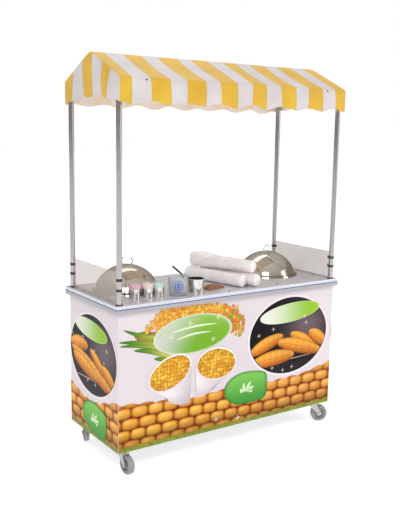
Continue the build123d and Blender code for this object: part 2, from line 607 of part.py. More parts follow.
with BuildPart() as fixing_screws:
    for corner, sx, sy in CORNERS:
        with BuildSketch(Plane((sx * POST_X, sy * POST_Y, SHEET_UNDER))):
            RegularPolygon(NUT_RADIUS, 6)
            Circle(STUD_RADIUS + SLIP, mode=Mode.SUBTRACT)
        extrude(amount=-NUT_HEIGHT)
        shank = COVER_THICKNESS + COVER_GAP
        outward = Plane((sx * CANOPY_SCREW_X, sy * half_canopy, EAVE_RAIL_Z), z_dir=(0, sy, 0))
        with BuildSketch(outward):
            Circle(HEAD_RADIUS)
        extrude(amount=HEAD_HEIGHT)
        with BuildSketch(outward):
            Circle(SCREW_RADIUS)
        extrude(amount=-shank)
        inner_x = sx * (POST_X - SCREEN_THICKNESS / 2)
        tab_x = sorted((inner_x, inner_x - sx * SHEET))
        tab_y = sorted((sy * (SCREEN_SCREW_Y - TAB_MARGIN), sy * (POST_Y - TAB_ROOT)))
        for strap_z in STRAP_LEVELS:
            strap_bottom = strap_z - STRAP_HEIGHT / 2
            with BuildSketch(Plane((sx * POST_X, sy * POST_Y, strap_bottom))):
                Circle(POST_RADIUS + SLIP + SHEET)
                Circle(POST_RADIUS + SLIP, mode=Mode.SUBTRACT)
            extrude(amount=STRAP_HEIGHT)
            tab_high = (tab_x[1], tab_y[1], strap_bottom + STRAP_HEIGHT)
            block((tab_x[0], tab_y[0], strap_bottom), tab_high)
            face = Plane((inner_x - sx * SHEET, sy * SCREEN_SCREW_Y, strap_z), z_dir=(-sx, 0, 0))
            with BuildSketch(face):
                Circle(HEAD_RADIUS)
            extrude(amount=HEAD_HEIGHT)
            with BuildSketch(face):
                Circle(SCREW_RADIUS)
            extrude(amount=-(SHEET + SCREEN_THICKNESS + SHANK_END))
            with BuildSketch(face.offset(-SHEET - SCREEN_THICKNESS)):
                RegularPolygon(HEAD_RADIUS, 6)
            extrude(amount=-SHANK_END)
    for screw_x, screw_y in TRAY_SCREWS:
        with BuildSketch(Plane((screw_x, screw_y, WORKTOP_HEIGHT))):
            Circle(HEAD_RADIUS)
        extrude(amount=HEAD_HEIGHT)
        with BuildSketch(Plane((screw_x, screw_y, WORKTOP_HEIGHT))):
            Circle(SCREW_RADIUS)
        extrude(amount=-SHEET)
fixing_screws.part.label = "fixing_screws"
export_step(fixing_screws.part, "parts/fixing_screws.step")

# ---------------------------------------------------------------- pots, lids and lid handles
POT_SEAT = WORKTOP_HEIGHT + POT_RIM_RISE
POT_BOTTOM = POT_SEAT - POT_DEPTH
LID_STEP_Z = POT_SEAT + LID_STEP
LID_TOP = POT_SEAT + LID_HEIGHT
DOME_RISE = LID_TOP - LID_STEP_Z
DOME_SPHERE = (LID_DOME_RADIUS**2 + DOME_RISE**2) / (2 * DOME_RISE)
DOME_CENTRE = LID_TOP - DOME_SPHERE
DOME_MID = 0.75
LOOP_FOOT = 20.0
LOOP_SINK = 8.0
LOOP_SHOULDER = 21.0
LOOP_BELLY = 34.0
LOOP_RISE = 35.0
LOOP_BEND = 9.0
PAD_RADIUS = 7.0
PAD_X = 21.6
PAD_RISE = 1.5


def dome_point(sphere, height):
    """Radius and height of a dome's profile where it passes a height above the ground."""
    return (sqrt(sphere**2 - (height - DOME_CENTRE) ** 2), height)


for side, sx, turn in LID_HANDLE_TURN:
    x, y = sx * WELL_X, WELL_Y
    axis = Axis((x, y, 0), (0, 0, 1))
    with BuildPart() as pot:
        with BuildSketch(upright(x, y)):
            with BuildLine():
                Polyline(
                    (0, POT_BOTTOM + SHEET),
                    (0, POT_BOTTOM),
                    (POT_RADIUS - POT_BEVEL, POT_BOTTOM),
                    (POT_RADIUS, POT_BOTTOM + POT_BEVEL),
                    (POT_RADIUS, POT_SEAT - SHEET),
                    (FLANGE_RADIUS - FLANGE_TURN, POT_SEAT - SHEET),
                    (FLANGE_RADIUS - SHEET, WORKTOP_HEIGHT),
                    (FLANGE_RADIUS, WORKTOP_HEIGHT),
                    (FLANGE_RADIUS - FLANGE_ROLL, POT_SEAT),
                    (POT_RADIUS - SHEET, POT_SEAT),
                    (POT_RADIUS - SHEET, POT_BOTTOM + POT_BEVEL),
                    (POT_RADIUS - POT_BEVEL, POT_BOTTOM + SHEET),
                    close=True,
                )
            make_face()
        revolve(axis=axis)
    pot.part.label = f"pot_{side}"
    export_step(pot.part, f"parts/pot_{side}.step")

    inner_sphere = DOME_SPHERE - LID_SHEET
    step_inner = dome_point(inner_sphere, LID_STEP_Z)
    outer_mid = dome_point(DOME_SPHERE, LID_STEP_Z + DOME_MID * DOME_RISE)
    inner_mid = dome_point(inner_sphere, LID_STEP_Z + DOME_MID * DOME_RISE)
    with BuildPart() as lid:
        with BuildSketch(upright(x, y)):
            with BuildLine():
                Polyline(
                    step_inner,
                    (step_inner[0], POT_SEAT),
                    (LID_RADIUS, POT_SEAT),
                    (LID_RADIUS, POT_SEAT + LID_SHEET),
                    (LID_DOME_RADIUS, POT_SEAT + LID_SHEET),
                    (LID_DOME_RADIUS, LID_STEP_Z),
                )
                ThreePointArc((LID_DOME_RADIUS, LID_STEP_Z), outer_mid, (0, LID_TOP))
                Line((0, LID_TOP), (0, LID_TOP - LID_SHEET))
                ThreePointArc((0, LID_TOP - LID_SHEET), inner_mid, step_inner)
            make_face()
        revolve(axis=axis)
    lid.part.label = f"lid_{side}"
    export_step(lid.part, f"parts/lid_{side}.step")

    loop_plane = upright(x, y, turn)
    foot_low = LID_TOP - LOOP_SINK
    with BuildPart() as lid_handle:
        with BuildLine(loop_plane) as loop_path:
            FilletPolyline(
                (-LOOP_FOOT, foot_low),
                (-LOOP_BELLY, LID_TOP + LOOP_SHOULDER),
                (-LOOP_FOOT, LID_TOP + LOOP_RISE),
                (LOOP_FOOT, LID_TOP + LOOP_RISE),
                (LOOP_BELLY, LID_TOP + LOOP_SHOULDER),
                (LOOP_FOOT, foot_low),
                radius=LOOP_BEND,
            )
        with BuildSketch(Plane(loop_path.line @ 0, z_dir=loop_path.line % 0)):
            Circle(HANDLE_WIRE / 2)
        sweep(path=loop_path.line)
        for foot_side in (-1, 1):
            foot_point = loop_plane.from_local_coords((foot_side * PAD_X, foot_low, 0))
            with BuildSketch(Plane(foot_point)):
                Circle(PAD_RADIUS)
            extrude(amount=LID_TOP + PAD_RISE - foot_low)
        with Locations((x, y, DOME_CENTRE)):
            Sphere(DOME_SPHERE + RUN, mode=Mode.SUBTRACT)
    lid_handle.part.label = f"lid_handle_{side}"
    export_step(lid_handle.part, f"parts/lid_handle_{side}.step")

# ---------------------------------------------------------------- casters
CASTER_PLATE = 4.0
PLATE_MARGIN = 20.0
PLATE_CORNER = 8.0
BOLT_HEAD = 6.5
BOLT_HEAD_HEIGHT = 5.0
RACE_RADIUS = 25.0
RACE_BOTTOM = 112.0
KINGPIN_RADIUS = 6.0
KINGPIN_NUT = 9.0
NUT_DROP = 6.0
CROWN_BOTTOM = 103.0
CROWN_TOP = RACE_BOTTOM - TOUCH
CROWN_HALF = 25.0
EAR_DROP = 4.0
SIDE_GAP = WHEEL_WIDTH / 2 + 3.0
CHEEK = 3.0
AXLE_RADIUS = 5.0
AXLE_HEAD = 8.0
AXLE_HEAD_HEIGHT = 4.0
AXLE_BOSS = 13.0
TYRE_DEPTH = 12.0
TYRE_ROUND = 6.0
HUB_RADIUS = WHEEL_RADIUS - TYRE_DEPTH
HUB_WIDTH = 26.0
HUB_RIM = 7.0
HUB_SIDE_PLAY = 1.0
HUB_BARREL = 10.0
WEB = 8.0
BRAKE_PIN = (54.0, 105.0)
BRAKE_PIN_RADIUS = 2.5
BRAKE_EAR = 62.0
PEDAL_TIP = (96.0, 86.0)
PEDAL_WIDTH = 30.0
PEDAL_PLATE = 4.0
PEDAL_EYE = 5.5
# along the trail from the pin or the tip, and height, of the tread's underside
PEDAL_UNDER_TIP = ((-16.0, -2.0), (-24.0, -10.0))
PEDAL_UNDER_PIN = (20.0, -20.0)

plate_pieces = []
for corner, sx, sy in CORNERS:
    angle = radians(TRAIL_ANGLES[corner])
    ahead = (cos(angle), sin(angle), 0)
    braked = sy > 0
    x, y = sx * CASTER_X, sy * CASTER_Y

    def level(height):
        """A horizontal plane on the swivel axis, its x along the trail."""
        return Plane((x, y, height), x_dir=ahead)

    def beside(offset):
        """A vertical plane along the trail, a distance to one side of the swivel axis."""
        origin = (x - ahead[1] * offset, y + ahead[0] * offset, 0)
        return Plane(origin, x_dir=ahead, z_dir=(ahead[1], -ahead[0], 0))

    plate_bottom = CASTER_HEIGHT - CASTER_PLATE
    with BuildPart() as caster_plate:
        with BuildSketch(Plane((x, y, plate_bottom))):
            RectangleRounded(BOLT_PITCH[0] + PLATE_MARGIN, BOLT_PITCH[1] + PLATE_MARGIN, PLATE_CORNER)
        extrude(amount=CASTER_PLATE)
        with BuildSketch(Plane((x, y, plate_bottom))):
            with GridLocations(*BOLT_PITCH, 2, 2):
                Circle(BOLT_RADIUS)
        extrude(amount=CASTER_PLATE + MOUNT_PLATE)
        with BuildSketch(Plane((x, y, plate_bottom))):
            with GridLocations(*BOLT_PITCH, 2, 2):
                RegularPolygon(BOLT_HEAD, 6)
        extrude(amount=-BOLT_HEAD_HEIGHT)
        with BuildSketch(Plane((x, y, RACE_BOTTOM))):
            Circle(RACE_RADIUS)
        extrude(amount=plate_bottom - RACE_BOTTOM)
        with BuildSketch(Plane((x, y, CROWN_BOTTOM - TOUCH - NUT_DROP))):
            Circle(KINGPIN_RADIUS)
        extrude(amount=RACE_BOTTOM - CROWN_BOTTOM + TOUCH + NUT_DROP)
        with BuildSketch(Plane((x, y, CROWN_BOTTOM - TOUCH - NUT_DROP))):
            RegularPolygon(KINGPIN_NUT, 6)
        extrude(amount=NUT_DROP)
    plate_pieces.append(caster_plate.part)

    with BuildPart() as caster_fork:
        with BuildSketch(level(CROWN_BOTTOM)):
            Rectangle(2 * CROWN_HALF, 2 * (SIDE_GAP + CHEEK))
            Circle(KINGPIN_RADIUS + RUN, mode=Mode.SUBTRACT)
        extrude(amount=CROWN_TOP - CROWN_BOTTOM)
        ear = BRAKE_EAR if braked else CROWN_HALF
        for offset in (SIDE_GAP + CHEEK, -SIDE_GAP):
            with BuildSketch(beside(offset)):
                with BuildLine():
                    Polyline(
                        (TRAIL - AXLE_BOSS, WHEEL_RADIUS),
                        (-CROWN_HALF, CROWN_BOTTOM),
                        (-CROWN_HALF, CROWN_TOP),
                        (ear, CROWN_TOP),
                        (ear, CROWN_BOTTOM - EAR_DROP),
                        (TRAIL + AXLE_BOSS, WHEEL_RADIUS),
                    )
                    bottom = (TRAIL, WHEEL_RADIUS - AXLE_BOSS)
                    start = (TRAIL + AXLE_BOSS, WHEEL_RADIUS)
                    ThreePointArc(start, bottom, (TRAIL - AXLE_BOSS, WHEEL_RADIUS))
                make_face()
            extrude(amount=CHEEK)
        with BuildSketch(beside(SIDE_GAP + CHEEK)):
            with Locations((TRAIL, WHEEL_RADIUS)):
                Circle(AXLE_RADIUS)
        extrude(amount=2 * (SIDE_GAP + CHEEK))
        for offset in (SIDE_GAP + CHEEK + AXLE_HEAD_HEIGHT, -SIDE_GAP - CHEEK):
            with BuildSketch(beside(offset)):
                with Locations((TRAIL, WHEEL_RADIUS)):
                    RegularPolygon(AXLE_HEAD, 6)
            extrude(amount=AXLE_HEAD_HEIGHT)
        if braked:
            with BuildSketch(beside(SIDE_GAP)):
                with Locations(BRAKE_PIN):
                    Circle(BRAKE_PIN_RADIUS)
            extrude(amount=2 * SIDE_GAP)
    caster_fork.part.label = f"caster_fork_{corner}"
    export_step(caster_fork.part, f"parts/caster_fork_{corner}.step")

    with BuildPart() as caster_hub:
        for radius, inner, width in (
            (HUB_RADIUS, HUB_RADIUS - HUB_RIM, HUB_WIDTH),
            (HUB_RADIUS - HUB_RIM, HUB_BARREL, WEB),
            (HUB_BARREL, AXLE_RADIUS + RUN, 2 * (SIDE_GAP - HUB_SIDE_PLAY)),
        ):
            with BuildSketch(beside(width / 2)):
                with Locations((TRAIL, WHEEL_RADIUS)):
                    Circle(radius)
                    Circle(inner, mode=Mode.SUBTRACT)
            extrude(amount=width)
    caster_hub.part.label = f"caster_hub_{corner}"
    export_step(caster_hub.part, f"parts/caster_hub_{corner}.step")

    with BuildPart() as caster_tyre:
        with BuildSketch(beside(WHEEL_WIDTH / 2)):
            with Locations((TRAIL, WHEEL_RADIUS)):
                Circle(WHEEL_RADIUS)
        extrude(amount=WHEEL_WIDTH)
        fillet(caster_tyre.edges(), radius=TYRE_ROUND)
        with BuildSketch(beside(WHEEL_WIDTH / 2)):
            with Locations((TRAIL, WHEEL_RADIUS)):
                Circle(HUB_RADIUS + RUN)
        extrude(amount=WHEEL_WIDTH, mode=Mode.SUBTRACT)
    caster_tyre.part.label = f"caster_tyre_{corner}"
    export_step(caster_tyre.part, f"parts/caster_tyre_{corner}.step")

    if braked:
        with BuildPart() as brake_pedal:
            with BuildSketch(beside(PEDAL_WIDTH / 2)):
                pin_x, pin_z = BRAKE_PIN
                tip_x, tip_z = PEDAL_TIP
                with BuildLine():
                    Polyline(
                        (pin_x, pin_z + PEDAL_PLATE),
                        (tip_x, tip_z + PEDAL_PLATE),
                        (tip_x, tip_z),
                        *[(tip_x + along, tip_z + rise) for along, rise in PEDAL_UNDER_TIP],
                        (pin_x + PEDAL_UNDER_PIN[0], pin_z + PEDAL_UNDER_PIN[1]),
                        (pin_x, pin_z - PEDAL_PLATE),
                        close=True,
                    )
                make_face()
                with Locations(BRAKE_PIN):
                    Circle(PEDAL_EYE)
                    Circle(BRAKE_PIN_RADIUS + RUN, mode=Mode.SUBTRACT)
                with Locations((TRAIL, WHEEL_RADIUS)):
                    Circle(WHEEL_RADIUS + TOUCH, mode=Mode.SUBTRACT)
            extrude(amount=PEDAL_WIDTH)
        brake_pedal.part.label = f"brake_pedal_{corner}"
        export_step(brake_pedal.part, f"parts/brake_pedal_{corner}.step")
gather(plate_pieces, "caster_plates")

# ---------------------------------------------------------------- serving kit on the worktop
SHAKERS = (("pink", -562.0, -150.0), ("peach", -491.0, -160.0), ("mint", -428.0, -166.0))
JAR_RADIUS = 29.0
JAR_HEIGHT = 58.0
JAR_WALL = 1.2
CAP_OVERLAP = 8.0
CAP_RISE = 15.0
CAP_WALL = 1.4
CAP_KNOB = 5.0
CAP_KNOB_RISE = 8.0
CAP_BEVEL = 3.0
CAP_FOOT = 1.0
CAP_KNOB_BEVEL = 2.0

for colour, x, y in SHAKERS:
    jar_top = WORKTOP_HEIGHT + JAR_HEIGHT
    with BuildPart() as jar:
        with BuildSketch(Plane((x, y, WORKTOP_HEIGHT))):
            Circle(JAR_RADIUS)
        extrude(amount=JAR_HEIGHT)
        fillet(jar.edges().group_by(Axis.Z)[0], radius=JAR_WALL)
        with BuildSketch(Plane((x, y, WORKTOP_HEIGHT + JAR_WALL))):
            Circle(JAR_RADIUS - JAR_WALL)
        extrude(amount=JAR_HEIGHT, mode=Mode.SUBTRACT)
    jar.part.label = f"shaker_jar_{colour}"
    export_step(jar.part, f"parts/shaker_jar_{colour}.step")
    cap_radius = JAR_RADIUS + SLIP + CAP_WALL
    cap_top = jar_top + CAP_RISE
    with BuildPart() as cap:
        with BuildSketch(upright(x, y)):
            with BuildLine():
                Polyline(
                    (0, jar_top),
                    (JAR_RADIUS + SLIP, jar_top),
                    (JAR_RADIUS + SLIP, jar_top - CAP_OVERLAP),
                    (cap_radius, jar_top - CAP_OVERLAP),
                    (cap_radius, cap_top - CAP_BEVEL),
                    (cap_radius - CAP_BEVEL, cap_top),
                    (CAP_KNOB + CAP_FOOT, cap_top + CAP_FOOT),
                    (CAP_KNOB, cap_top + CAP_KNOB_RISE - CAP_KNOB_BEVEL),
                    (CAP_KNOB - CAP_KNOB_BEVEL, cap_top + CAP_KNOB_RISE),
                    (0, cap_top + CAP_KNOB_RISE),
                    close=True,
                )
            make_face()
        revolve(axis=Axis((x, y, 0), (0, 0, 1)))
    cap.part.label = f"shaker_cap_{colour}"
    export_step(cap.part, f"parts/shaker_cap_{colour}.step")

PAN_X, PAN_Y = -195.0, -172.0
PAN_RADIUS = 45.0
PAN_HEIGHT = 74.0
PAN_WALL = 1.2
PAN_RIM = 8.0
PAN_HANDLE_TURN = 150.0
PAN_HANDLE = 9.0
PAN_HANDLE_DEEP = 16.2
PAN_HANDLE_ROUND = 3.0
PAN_HANDLE_DROP = 14.0
PAN_HANDLE_BEND = 30.0
# out from the pan's side, and height, along the handle
PAN_HANDLE_PATH = ((-4.0, 0.0), (18.0, 3.0), (34.0, 38.0), (84.0, 80.0))

with BuildPart() as saucepan:
    with BuildSketch(Plane((PAN_X, PAN_Y, WORKTOP_HEIGHT))):
        Circle(PAN_RADIUS)
    extrude(amount=PAN_HEIGHT)
    with BuildSketch(Plane((PAN_X, PAN_Y, WORKTOP_HEIGHT + PAN_HEIGHT - PAN_WALL))):
        Circle(PAN_RADIUS + PAN_RIM)
    extrude(amount=PAN_WALL)
    fillet(saucepan.edges().group_by(Axis.Z)[0], radius=PAN_WALL)
    with BuildSketch(Plane((PAN_X, PAN_Y, WORKTOP_HEIGHT + PAN_WALL))):
        Circle(PAN_RADIUS - PAN_WALL)
    extrude(amount=PAN_HEIGHT, mode=Mode.SUBTRACT)
saucepan.part.label = "saucepan"
export_step(saucepan.part, "parts/saucepan.step")

with BuildPart() as saucepan_handle:
    grip_plane = upright(PAN_X, PAN_Y, PAN_HANDLE_TURN)
    grip_z = WORKTOP_HEIGHT + PAN_HEIGHT - PAN_HANDLE_DROP
    with BuildLine(grip_plane) as grip_path:
        FilletPolyline(
            *[(PAN_RADIUS + out, grip_z + rise) for out, rise in PAN_HANDLE_PATH],
            radius=PAN_HANDLE_BEND,
        )
    with BuildSketch(Plane(grip_path.line @ 0, x_dir=(0, 0, 1), z_dir=grip_path.line % 0)):
        RectangleRounded(PAN_HANDLE, PAN_HANDLE_DEEP, PAN_HANDLE_ROUND)
    sweep(path=grip_path.line)
    with BuildSketch(Plane((PAN_X, PAN_Y, WORKTOP_HEIGHT))):
        Circle(PAN_RADIUS + RUN)
    extrude(amount=2 * PAN_HEIGHT, mode=Mode.SUBTRACT)
saucepan_handle.part.label = "saucepan_handle"
export_step(saucepan_handle.part, "parts/saucepan_handle.step")

CUP_X, CUP_Y = -322.0, -190.0
CUP_TOP_RADIUS = 57.0
CUP_BASE_RADIUS = 48.0
CUP_HEIGHT = 103.0
CUP_WALL = 1.2
CUP_RIM = 2.0
CUP_RIM_HEIGHT = 3.0

with BuildPart() as clear_cup:
    with BuildSketch(upright(CUP_X, CUP_Y)):
        with BuildLine():
            Polyline(
                (0, WORKTOP_HEIGHT),
                (CUP_BASE_RADIUS, WORKTOP_HEIGHT),
                (CUP_TOP_RADIUS - CUP_RIM, WORKTOP_HEIGHT + CUP_HEIGHT - CUP_RIM_HEIGHT),
                (CUP_TOP_RADIUS, WORKTOP_HEIGHT + CUP_HEIGHT - CUP_RIM_HEIGHT),
                (CUP_TOP_RADIUS, WORKTOP_HEIGHT + CUP_HEIGHT),
                (CUP_TOP_RADIUS - CUP_RIM - CUP_WALL, WORKTOP_HEIGHT + CUP_HEIGHT),
                (CUP_BASE_RADIUS - CUP_WALL, WORKTOP_HEIGHT + CUP_WALL),
                (0, WORKTOP_HEIGHT + CUP_WALL),
                close=True,
            )
        make_face()
    revolve(axis=Axis((CUP_X, CUP_Y, 0), (0, 0, 1)))
clear_cup.part.label = "clear_cup"
export_step(clear_cup.part, "parts/clear_cup.step")

SCOOP_START = (-122.0, -168.0)
SCOOP_TURN = 10.0
SCOOP_LENGTH = 126.0
SCOOP_WIDTH = 34.0
SCOOP_HEIGHT = 26.0
SCOOP_ROUND = 2.0
# along the scoop, and height above the worktop, of its upper outline from tip to heel
SCOOP_OUTLINE = ((SCOOP_LENGTH, 7.0), (69.0, SCOOP_HEIGHT), (15.0, SCOOP_HEIGHT), (0.0, 15.6))

with BuildPart() as wooden_scoop:
    with BuildSketch(upright(*SCOOP_START, SCOOP_TURN)):
        with BuildLine():
            Polyline(
                (0, WORKTOP_HEIGHT),
                (SCOOP_LENGTH, WORKTOP_HEIGHT),
                *[(along, WORKTOP_HEIGHT + rise) for along, rise in SCOOP_OUTLINE],
                close=True,
            )
        make_face()
    extrude(amount=SCOOP_WIDTH / 2, both=True)
    fillet(wooden_scoop.edges().filter_by(lambda edge: edge.length > SCOOP_WIDTH - 1), radius=SCOOP_ROUND)
wooden_scoop.part.label = "wooden_scoop"
export_step(wooden_scoop.part, "parts/wooden_scoop.step")

SLEEVE_RADIUS = 37.0
SLEEVE_LENGTH = 430.0
SLEEVE_ROUND = 6.0
SLEEVE_TURN = 105.0
TOP_SLEEVE_TURN = 112.0
SLEEVE_START = (98.0, -222.0)
SLEEVE_STAGGER = 45.0
TOP_SLEEVE_SHIFT = (74.0, 2.0)
turned = radians(SLEEVE_TURN)
pair_gap = 2 * SLEEVE_RADIUS
low_z = WORKTOP_HEIGHT + TOUCH + SLEEVE_RADIUS
top_x = SLEEVE_START[0] + TOP_SLEEVE_SHIFT[0]
top_y = SLEEVE_START[1] + TOP_SLEEVE_SHIFT[1]
second_x = SLEEVE_START[0] + pair_gap * sin(turned) - SLEEVE_STAGGER * cos(turned)
second_y = SLEEVE_START[1] - pair_gap * cos(turned) - SLEEVE_STAGGER * sin(turned)
cup_sleeves = (
    ("near", *SLEEVE_START, low_z, SLEEVE_TURN),
    ("far", second_x, second_y, low_z, SLEEVE_TURN),
    ("top", top_x, top_y, low_z + pair_gap + TOUCH, TOP_SLEEVE_TURN),
)

for place, x, y, z, turn in cup_sleeves:
    with BuildPart() as cup_sleeve:
        direction = (cos(radians(turn)), sin(radians(turn)), 0)
        with BuildSketch(Plane((x, y, z), z_dir=direction)):
            Circle(SLEEVE_RADIUS)
        extrude(amount=SLEEVE_LENGTH)
        fillet(cup_sleeve.edges(), radius=SLEEVE_ROUND)
    cup_sleeve.part.label = f"cup_sleeve_{place}"
    export_step(cup_sleeve.part, f"parts/cup_sleeve_{place}.step")
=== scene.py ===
"""Looks of a push vending cart: striped canopy, printed cabinet, worktop and serving kit."""
from math import cos, pi, radians, sin

import bmesh
import bpy
import numpy as np
from mathutils import Matrix, Vector


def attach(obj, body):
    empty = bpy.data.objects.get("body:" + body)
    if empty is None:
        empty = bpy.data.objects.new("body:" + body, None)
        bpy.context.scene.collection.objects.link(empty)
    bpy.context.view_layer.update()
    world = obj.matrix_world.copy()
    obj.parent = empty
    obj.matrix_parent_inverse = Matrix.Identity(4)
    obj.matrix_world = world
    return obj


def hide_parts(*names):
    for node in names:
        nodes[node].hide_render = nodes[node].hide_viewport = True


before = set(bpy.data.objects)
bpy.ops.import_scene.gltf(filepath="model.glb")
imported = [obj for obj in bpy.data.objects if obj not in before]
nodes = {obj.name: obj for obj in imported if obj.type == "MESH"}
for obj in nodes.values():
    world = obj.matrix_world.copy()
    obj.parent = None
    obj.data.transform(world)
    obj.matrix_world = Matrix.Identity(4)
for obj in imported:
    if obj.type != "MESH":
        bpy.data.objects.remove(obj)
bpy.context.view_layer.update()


# ---------------------------------------------------------------- camera and light
EYE = (-2.439, -3.4649, 1.7488)
EYE_YAW, EYE_PITCH, EYE_ROLL = 34.55, 9.42, 0.97  # degrees: from +Y to +X, down, clockwise
SENSOR, LENS = 36.0, 52.39  # millimetres


def set_camera():
    """A camera placed by its eye point, yaw, pitch and roll."""
    yaw, pitch, roll = radians(EYE_YAW), radians(EYE_PITCH), radians(EYE_ROLL)
    forward = Vector((sin(yaw) * cos(pitch), cos(yaw) * cos(pitch), -sin(pitch)))
    level = forward.cross(Vector((0, 0, 1))).normalized()
    upright = level.cross(forward)
    right = level * cos(roll) + upright * sin(roll)
    up = upright * cos(roll) - level * sin(roll)
    place = Matrix((right, up, -forward)).transposed().to_4x4()
    place.translation = EYE
    data = bpy.data.cameras.new("viewpoint")
    data.sensor_width = SENSOR
    data.lens = LENS
    data.clip_end = 200.0
    camera = bpy.data.objects.new("viewpoint", data)
    camera.matrix_world = place
    bpy.context.collection.objects.link(camera)
    bpy.context.scene.camera = camera


def set_stops(band, tones):
    """Colours at positions on a colour ramp; tones holds pairs of position and colour."""
    while len(band.elements) < len(tones):
        band.elements.new(1.0)
    for stop, (at, tone) in zip(band.elements, tones):
        stop.position = at
        stop.color = (*tone, 1)


def soft_light(name, place, aim, size, power, colour):
    """A rectangular lamp at a place, facing an aim."""
    data = bpy.data.lights.new(name, "AREA")
    data.shape = "RECTANGLE"
    data.size, data.size_y = size
    data.energy = power
    data.color = colour
    lamp = bpy.data.objects.new(name, data)
    lamp.location = place
    lamp.rotation_euler = (Vector(aim) - Vector(place)).to_track_quat("-Z", "Y").to_euler()
    bpy.context.collection.objects.link(lamp)


ROOM_TONES = (  # by height of the direction looked in: what polished steel shows
    (0.0, (0.15, 0.11, 0.08)),
    (0.10, (0.30, 0.25, 0.21)),
    (0.35, (0.55, 0.51, 0.47)),
    (1.0, (0.95, 0.94, 0.93)),
)
SOFT_SKY = (0.60, (1.0, 0.985, 0.985))  # strength and colour of the light on surfaces
LAMPS = (  # name, place, aim, size, power, colour
    ("key", (-3.2, -4.2, 4.6), (0, 0, 1.2), (2.4, 1.8), 115, (1, 1, 1)),
    ("fill", (3.8, -3.4, 2.6), (0, 0, 1.0), (2.0, 2.4), 46, (1, 0.98, 0.96)),
    ("top", (0.4, 1.2, 5.0), (0, 0, 1.0), (3.0, 3.0), 42, (1, 1, 1)),
)


def set_studio():
    """White surroundings for the eye, soft light for surfaces and a warm dim room for steel."""
    world = bpy.data.worlds.new("studio")
    bpy.context.scene.world = world
    world.use_nodes = True
    tree = world.node_tree
    tree.nodes.clear()
    out = tree.nodes.new("ShaderNodeOutputWorld")
    path = tree.nodes.new("ShaderNodeLightPath")
    coords = tree.nodes.new("ShaderNodeTexCoord")
    split = tree.nodes.new("ShaderNodeSeparateXYZ")
    tree.links.new(coords.outputs["Generated"], split.inputs[0])
    room = tree.nodes.new("ShaderNodeValToRGB")
    tree.links.new(split.outputs["Z"], room.inputs[0])
    set_stops(room.color_ramp, ROOM_TONES)
    shades = []
    for strength, tone in (SOFT_SKY, (1.0, None), (1.0, (1, 1, 1))):
        shade = tree.nodes.new("ShaderNodeBackground")
        shade.inputs["Strength"].default_value = strength
        if tone:
            shade.inputs["Color"].default_value = (*tone, 1)
        else:
            tree.links.new(room.outputs["Color"], shade.inputs["Color"])
        shades.append(shade)
    glossy = tree.nodes.new("ShaderNodeMixShader")
    tree.links.new(path.outputs["Is Glossy Ray"], glossy.inputs[0])
    tree.links.new(shades[0].outputs[0], glossy.inputs[1])
    tree.links.new(shades[1].outputs[0], glossy.inputs[2])
    seen = tree.nodes.new("ShaderNodeMixShader")
    tree.links.new(path.outputs["Is Camera Ray"], seen.inputs[0])
    tree.links.new(glossy.outputs[0], seen.inputs[1])
    tree.links.new(shades[2].outputs[0], seen.inputs[2])
    tree.links.new(seen.outputs[0], out.inputs["Surface"])
    for lamp in LAMPS:
        soft_light(*lamp)
    bpy.context.scene.view_settings.view_transform = "Standard"


set_camera()
set_studio()


# ---------------------------------------------------------------- meshes from grids
def lay_mesh(name, grids, ink=None, chart=None, weld=False):
    """One mesh from grids of points; grid square i, j joins its four neighbours, so its face
    turns from the first grid direction to the second.  ink is a colour per point, chart a
    pair of pattern coordinates per point, and weld joins points that coincide."""
    points, faces, start = [], [], 0
    for grid in grids:
        rows, cols = grid.shape[:2]
        index = start + np.arange(rows * cols).reshape(rows, cols)
        square = (index[:-1, :-1], index[1:, :-1], index[1:, 1:], index[:-1, 1:])
        faces.append(np.stack(square, -1).reshape(-1, 4))
        points.append(grid.reshape(-1, 3))
        start += rows * cols
    points, faces = np.concatenate(points), np.concatenate(faces)
    mesh = bpy.data.meshes.new(name)
    mesh.from_pydata(points.tolist(), [], faces.tolist())
    if ink is not None:
        tones = np.concatenate([tone.reshape(-1, 3) for tone in ink])
        layer = mesh.color_attributes.new("ink", "FLOAT_COLOR", "POINT")
        layer.data.foreach_set("color", np.c_[tones, np.ones(len(tones))].ravel())
    if chart is not None:
        pairs = np.concatenate([pair.reshape(-1, 2) for pair in chart])
        layer = mesh.uv_layers.new(name="chart")
        layer.data.foreach_set("uv", pairs[faces.ravel()].ravel())
    if weld:
        work = bmesh.new()
        work.from_mesh(mesh)
        bmesh.ops.remove_doubles(work, verts=work.verts, dist=1e-5)
        work.to_mesh(mesh)
        work.free()
    mesh.polygons.foreach_set("use_smooth", np.ones(len(mesh.polygons), bool))
    piece = bpy.data.objects.new(name, mesh)
    bpy.context.collection.objects.link(piece)
    return piece


def on_cart(piece, body, slot, finish, *hidden):
    """Gives a piece its finish and its body, and hides the nodes that it stands for; slot is not
    used.
    """
    piece.data.materials.append(finish)
    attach(piece, body)
    if hidden:
        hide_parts(*hidden)
    return piece


def even(low, high, count):
    return np.linspace(low, high, count)


def chance(first, second=0.0):
    """A fixed scatter between 0 and 1: the fraction of a large multiple of a sine."""
    value = np.sin(np.asarray(first) * 127.1 + np.asarray(second) * 311.7) * 43758.5453
    return value - np.floor(value)


def step(low, high, value):
    """A smooth rise from 0 at low to 1 at high."""
    part = np.clip((value - low) / (high - low), 0, 1)
    return part * part * (3 - 2 * part)


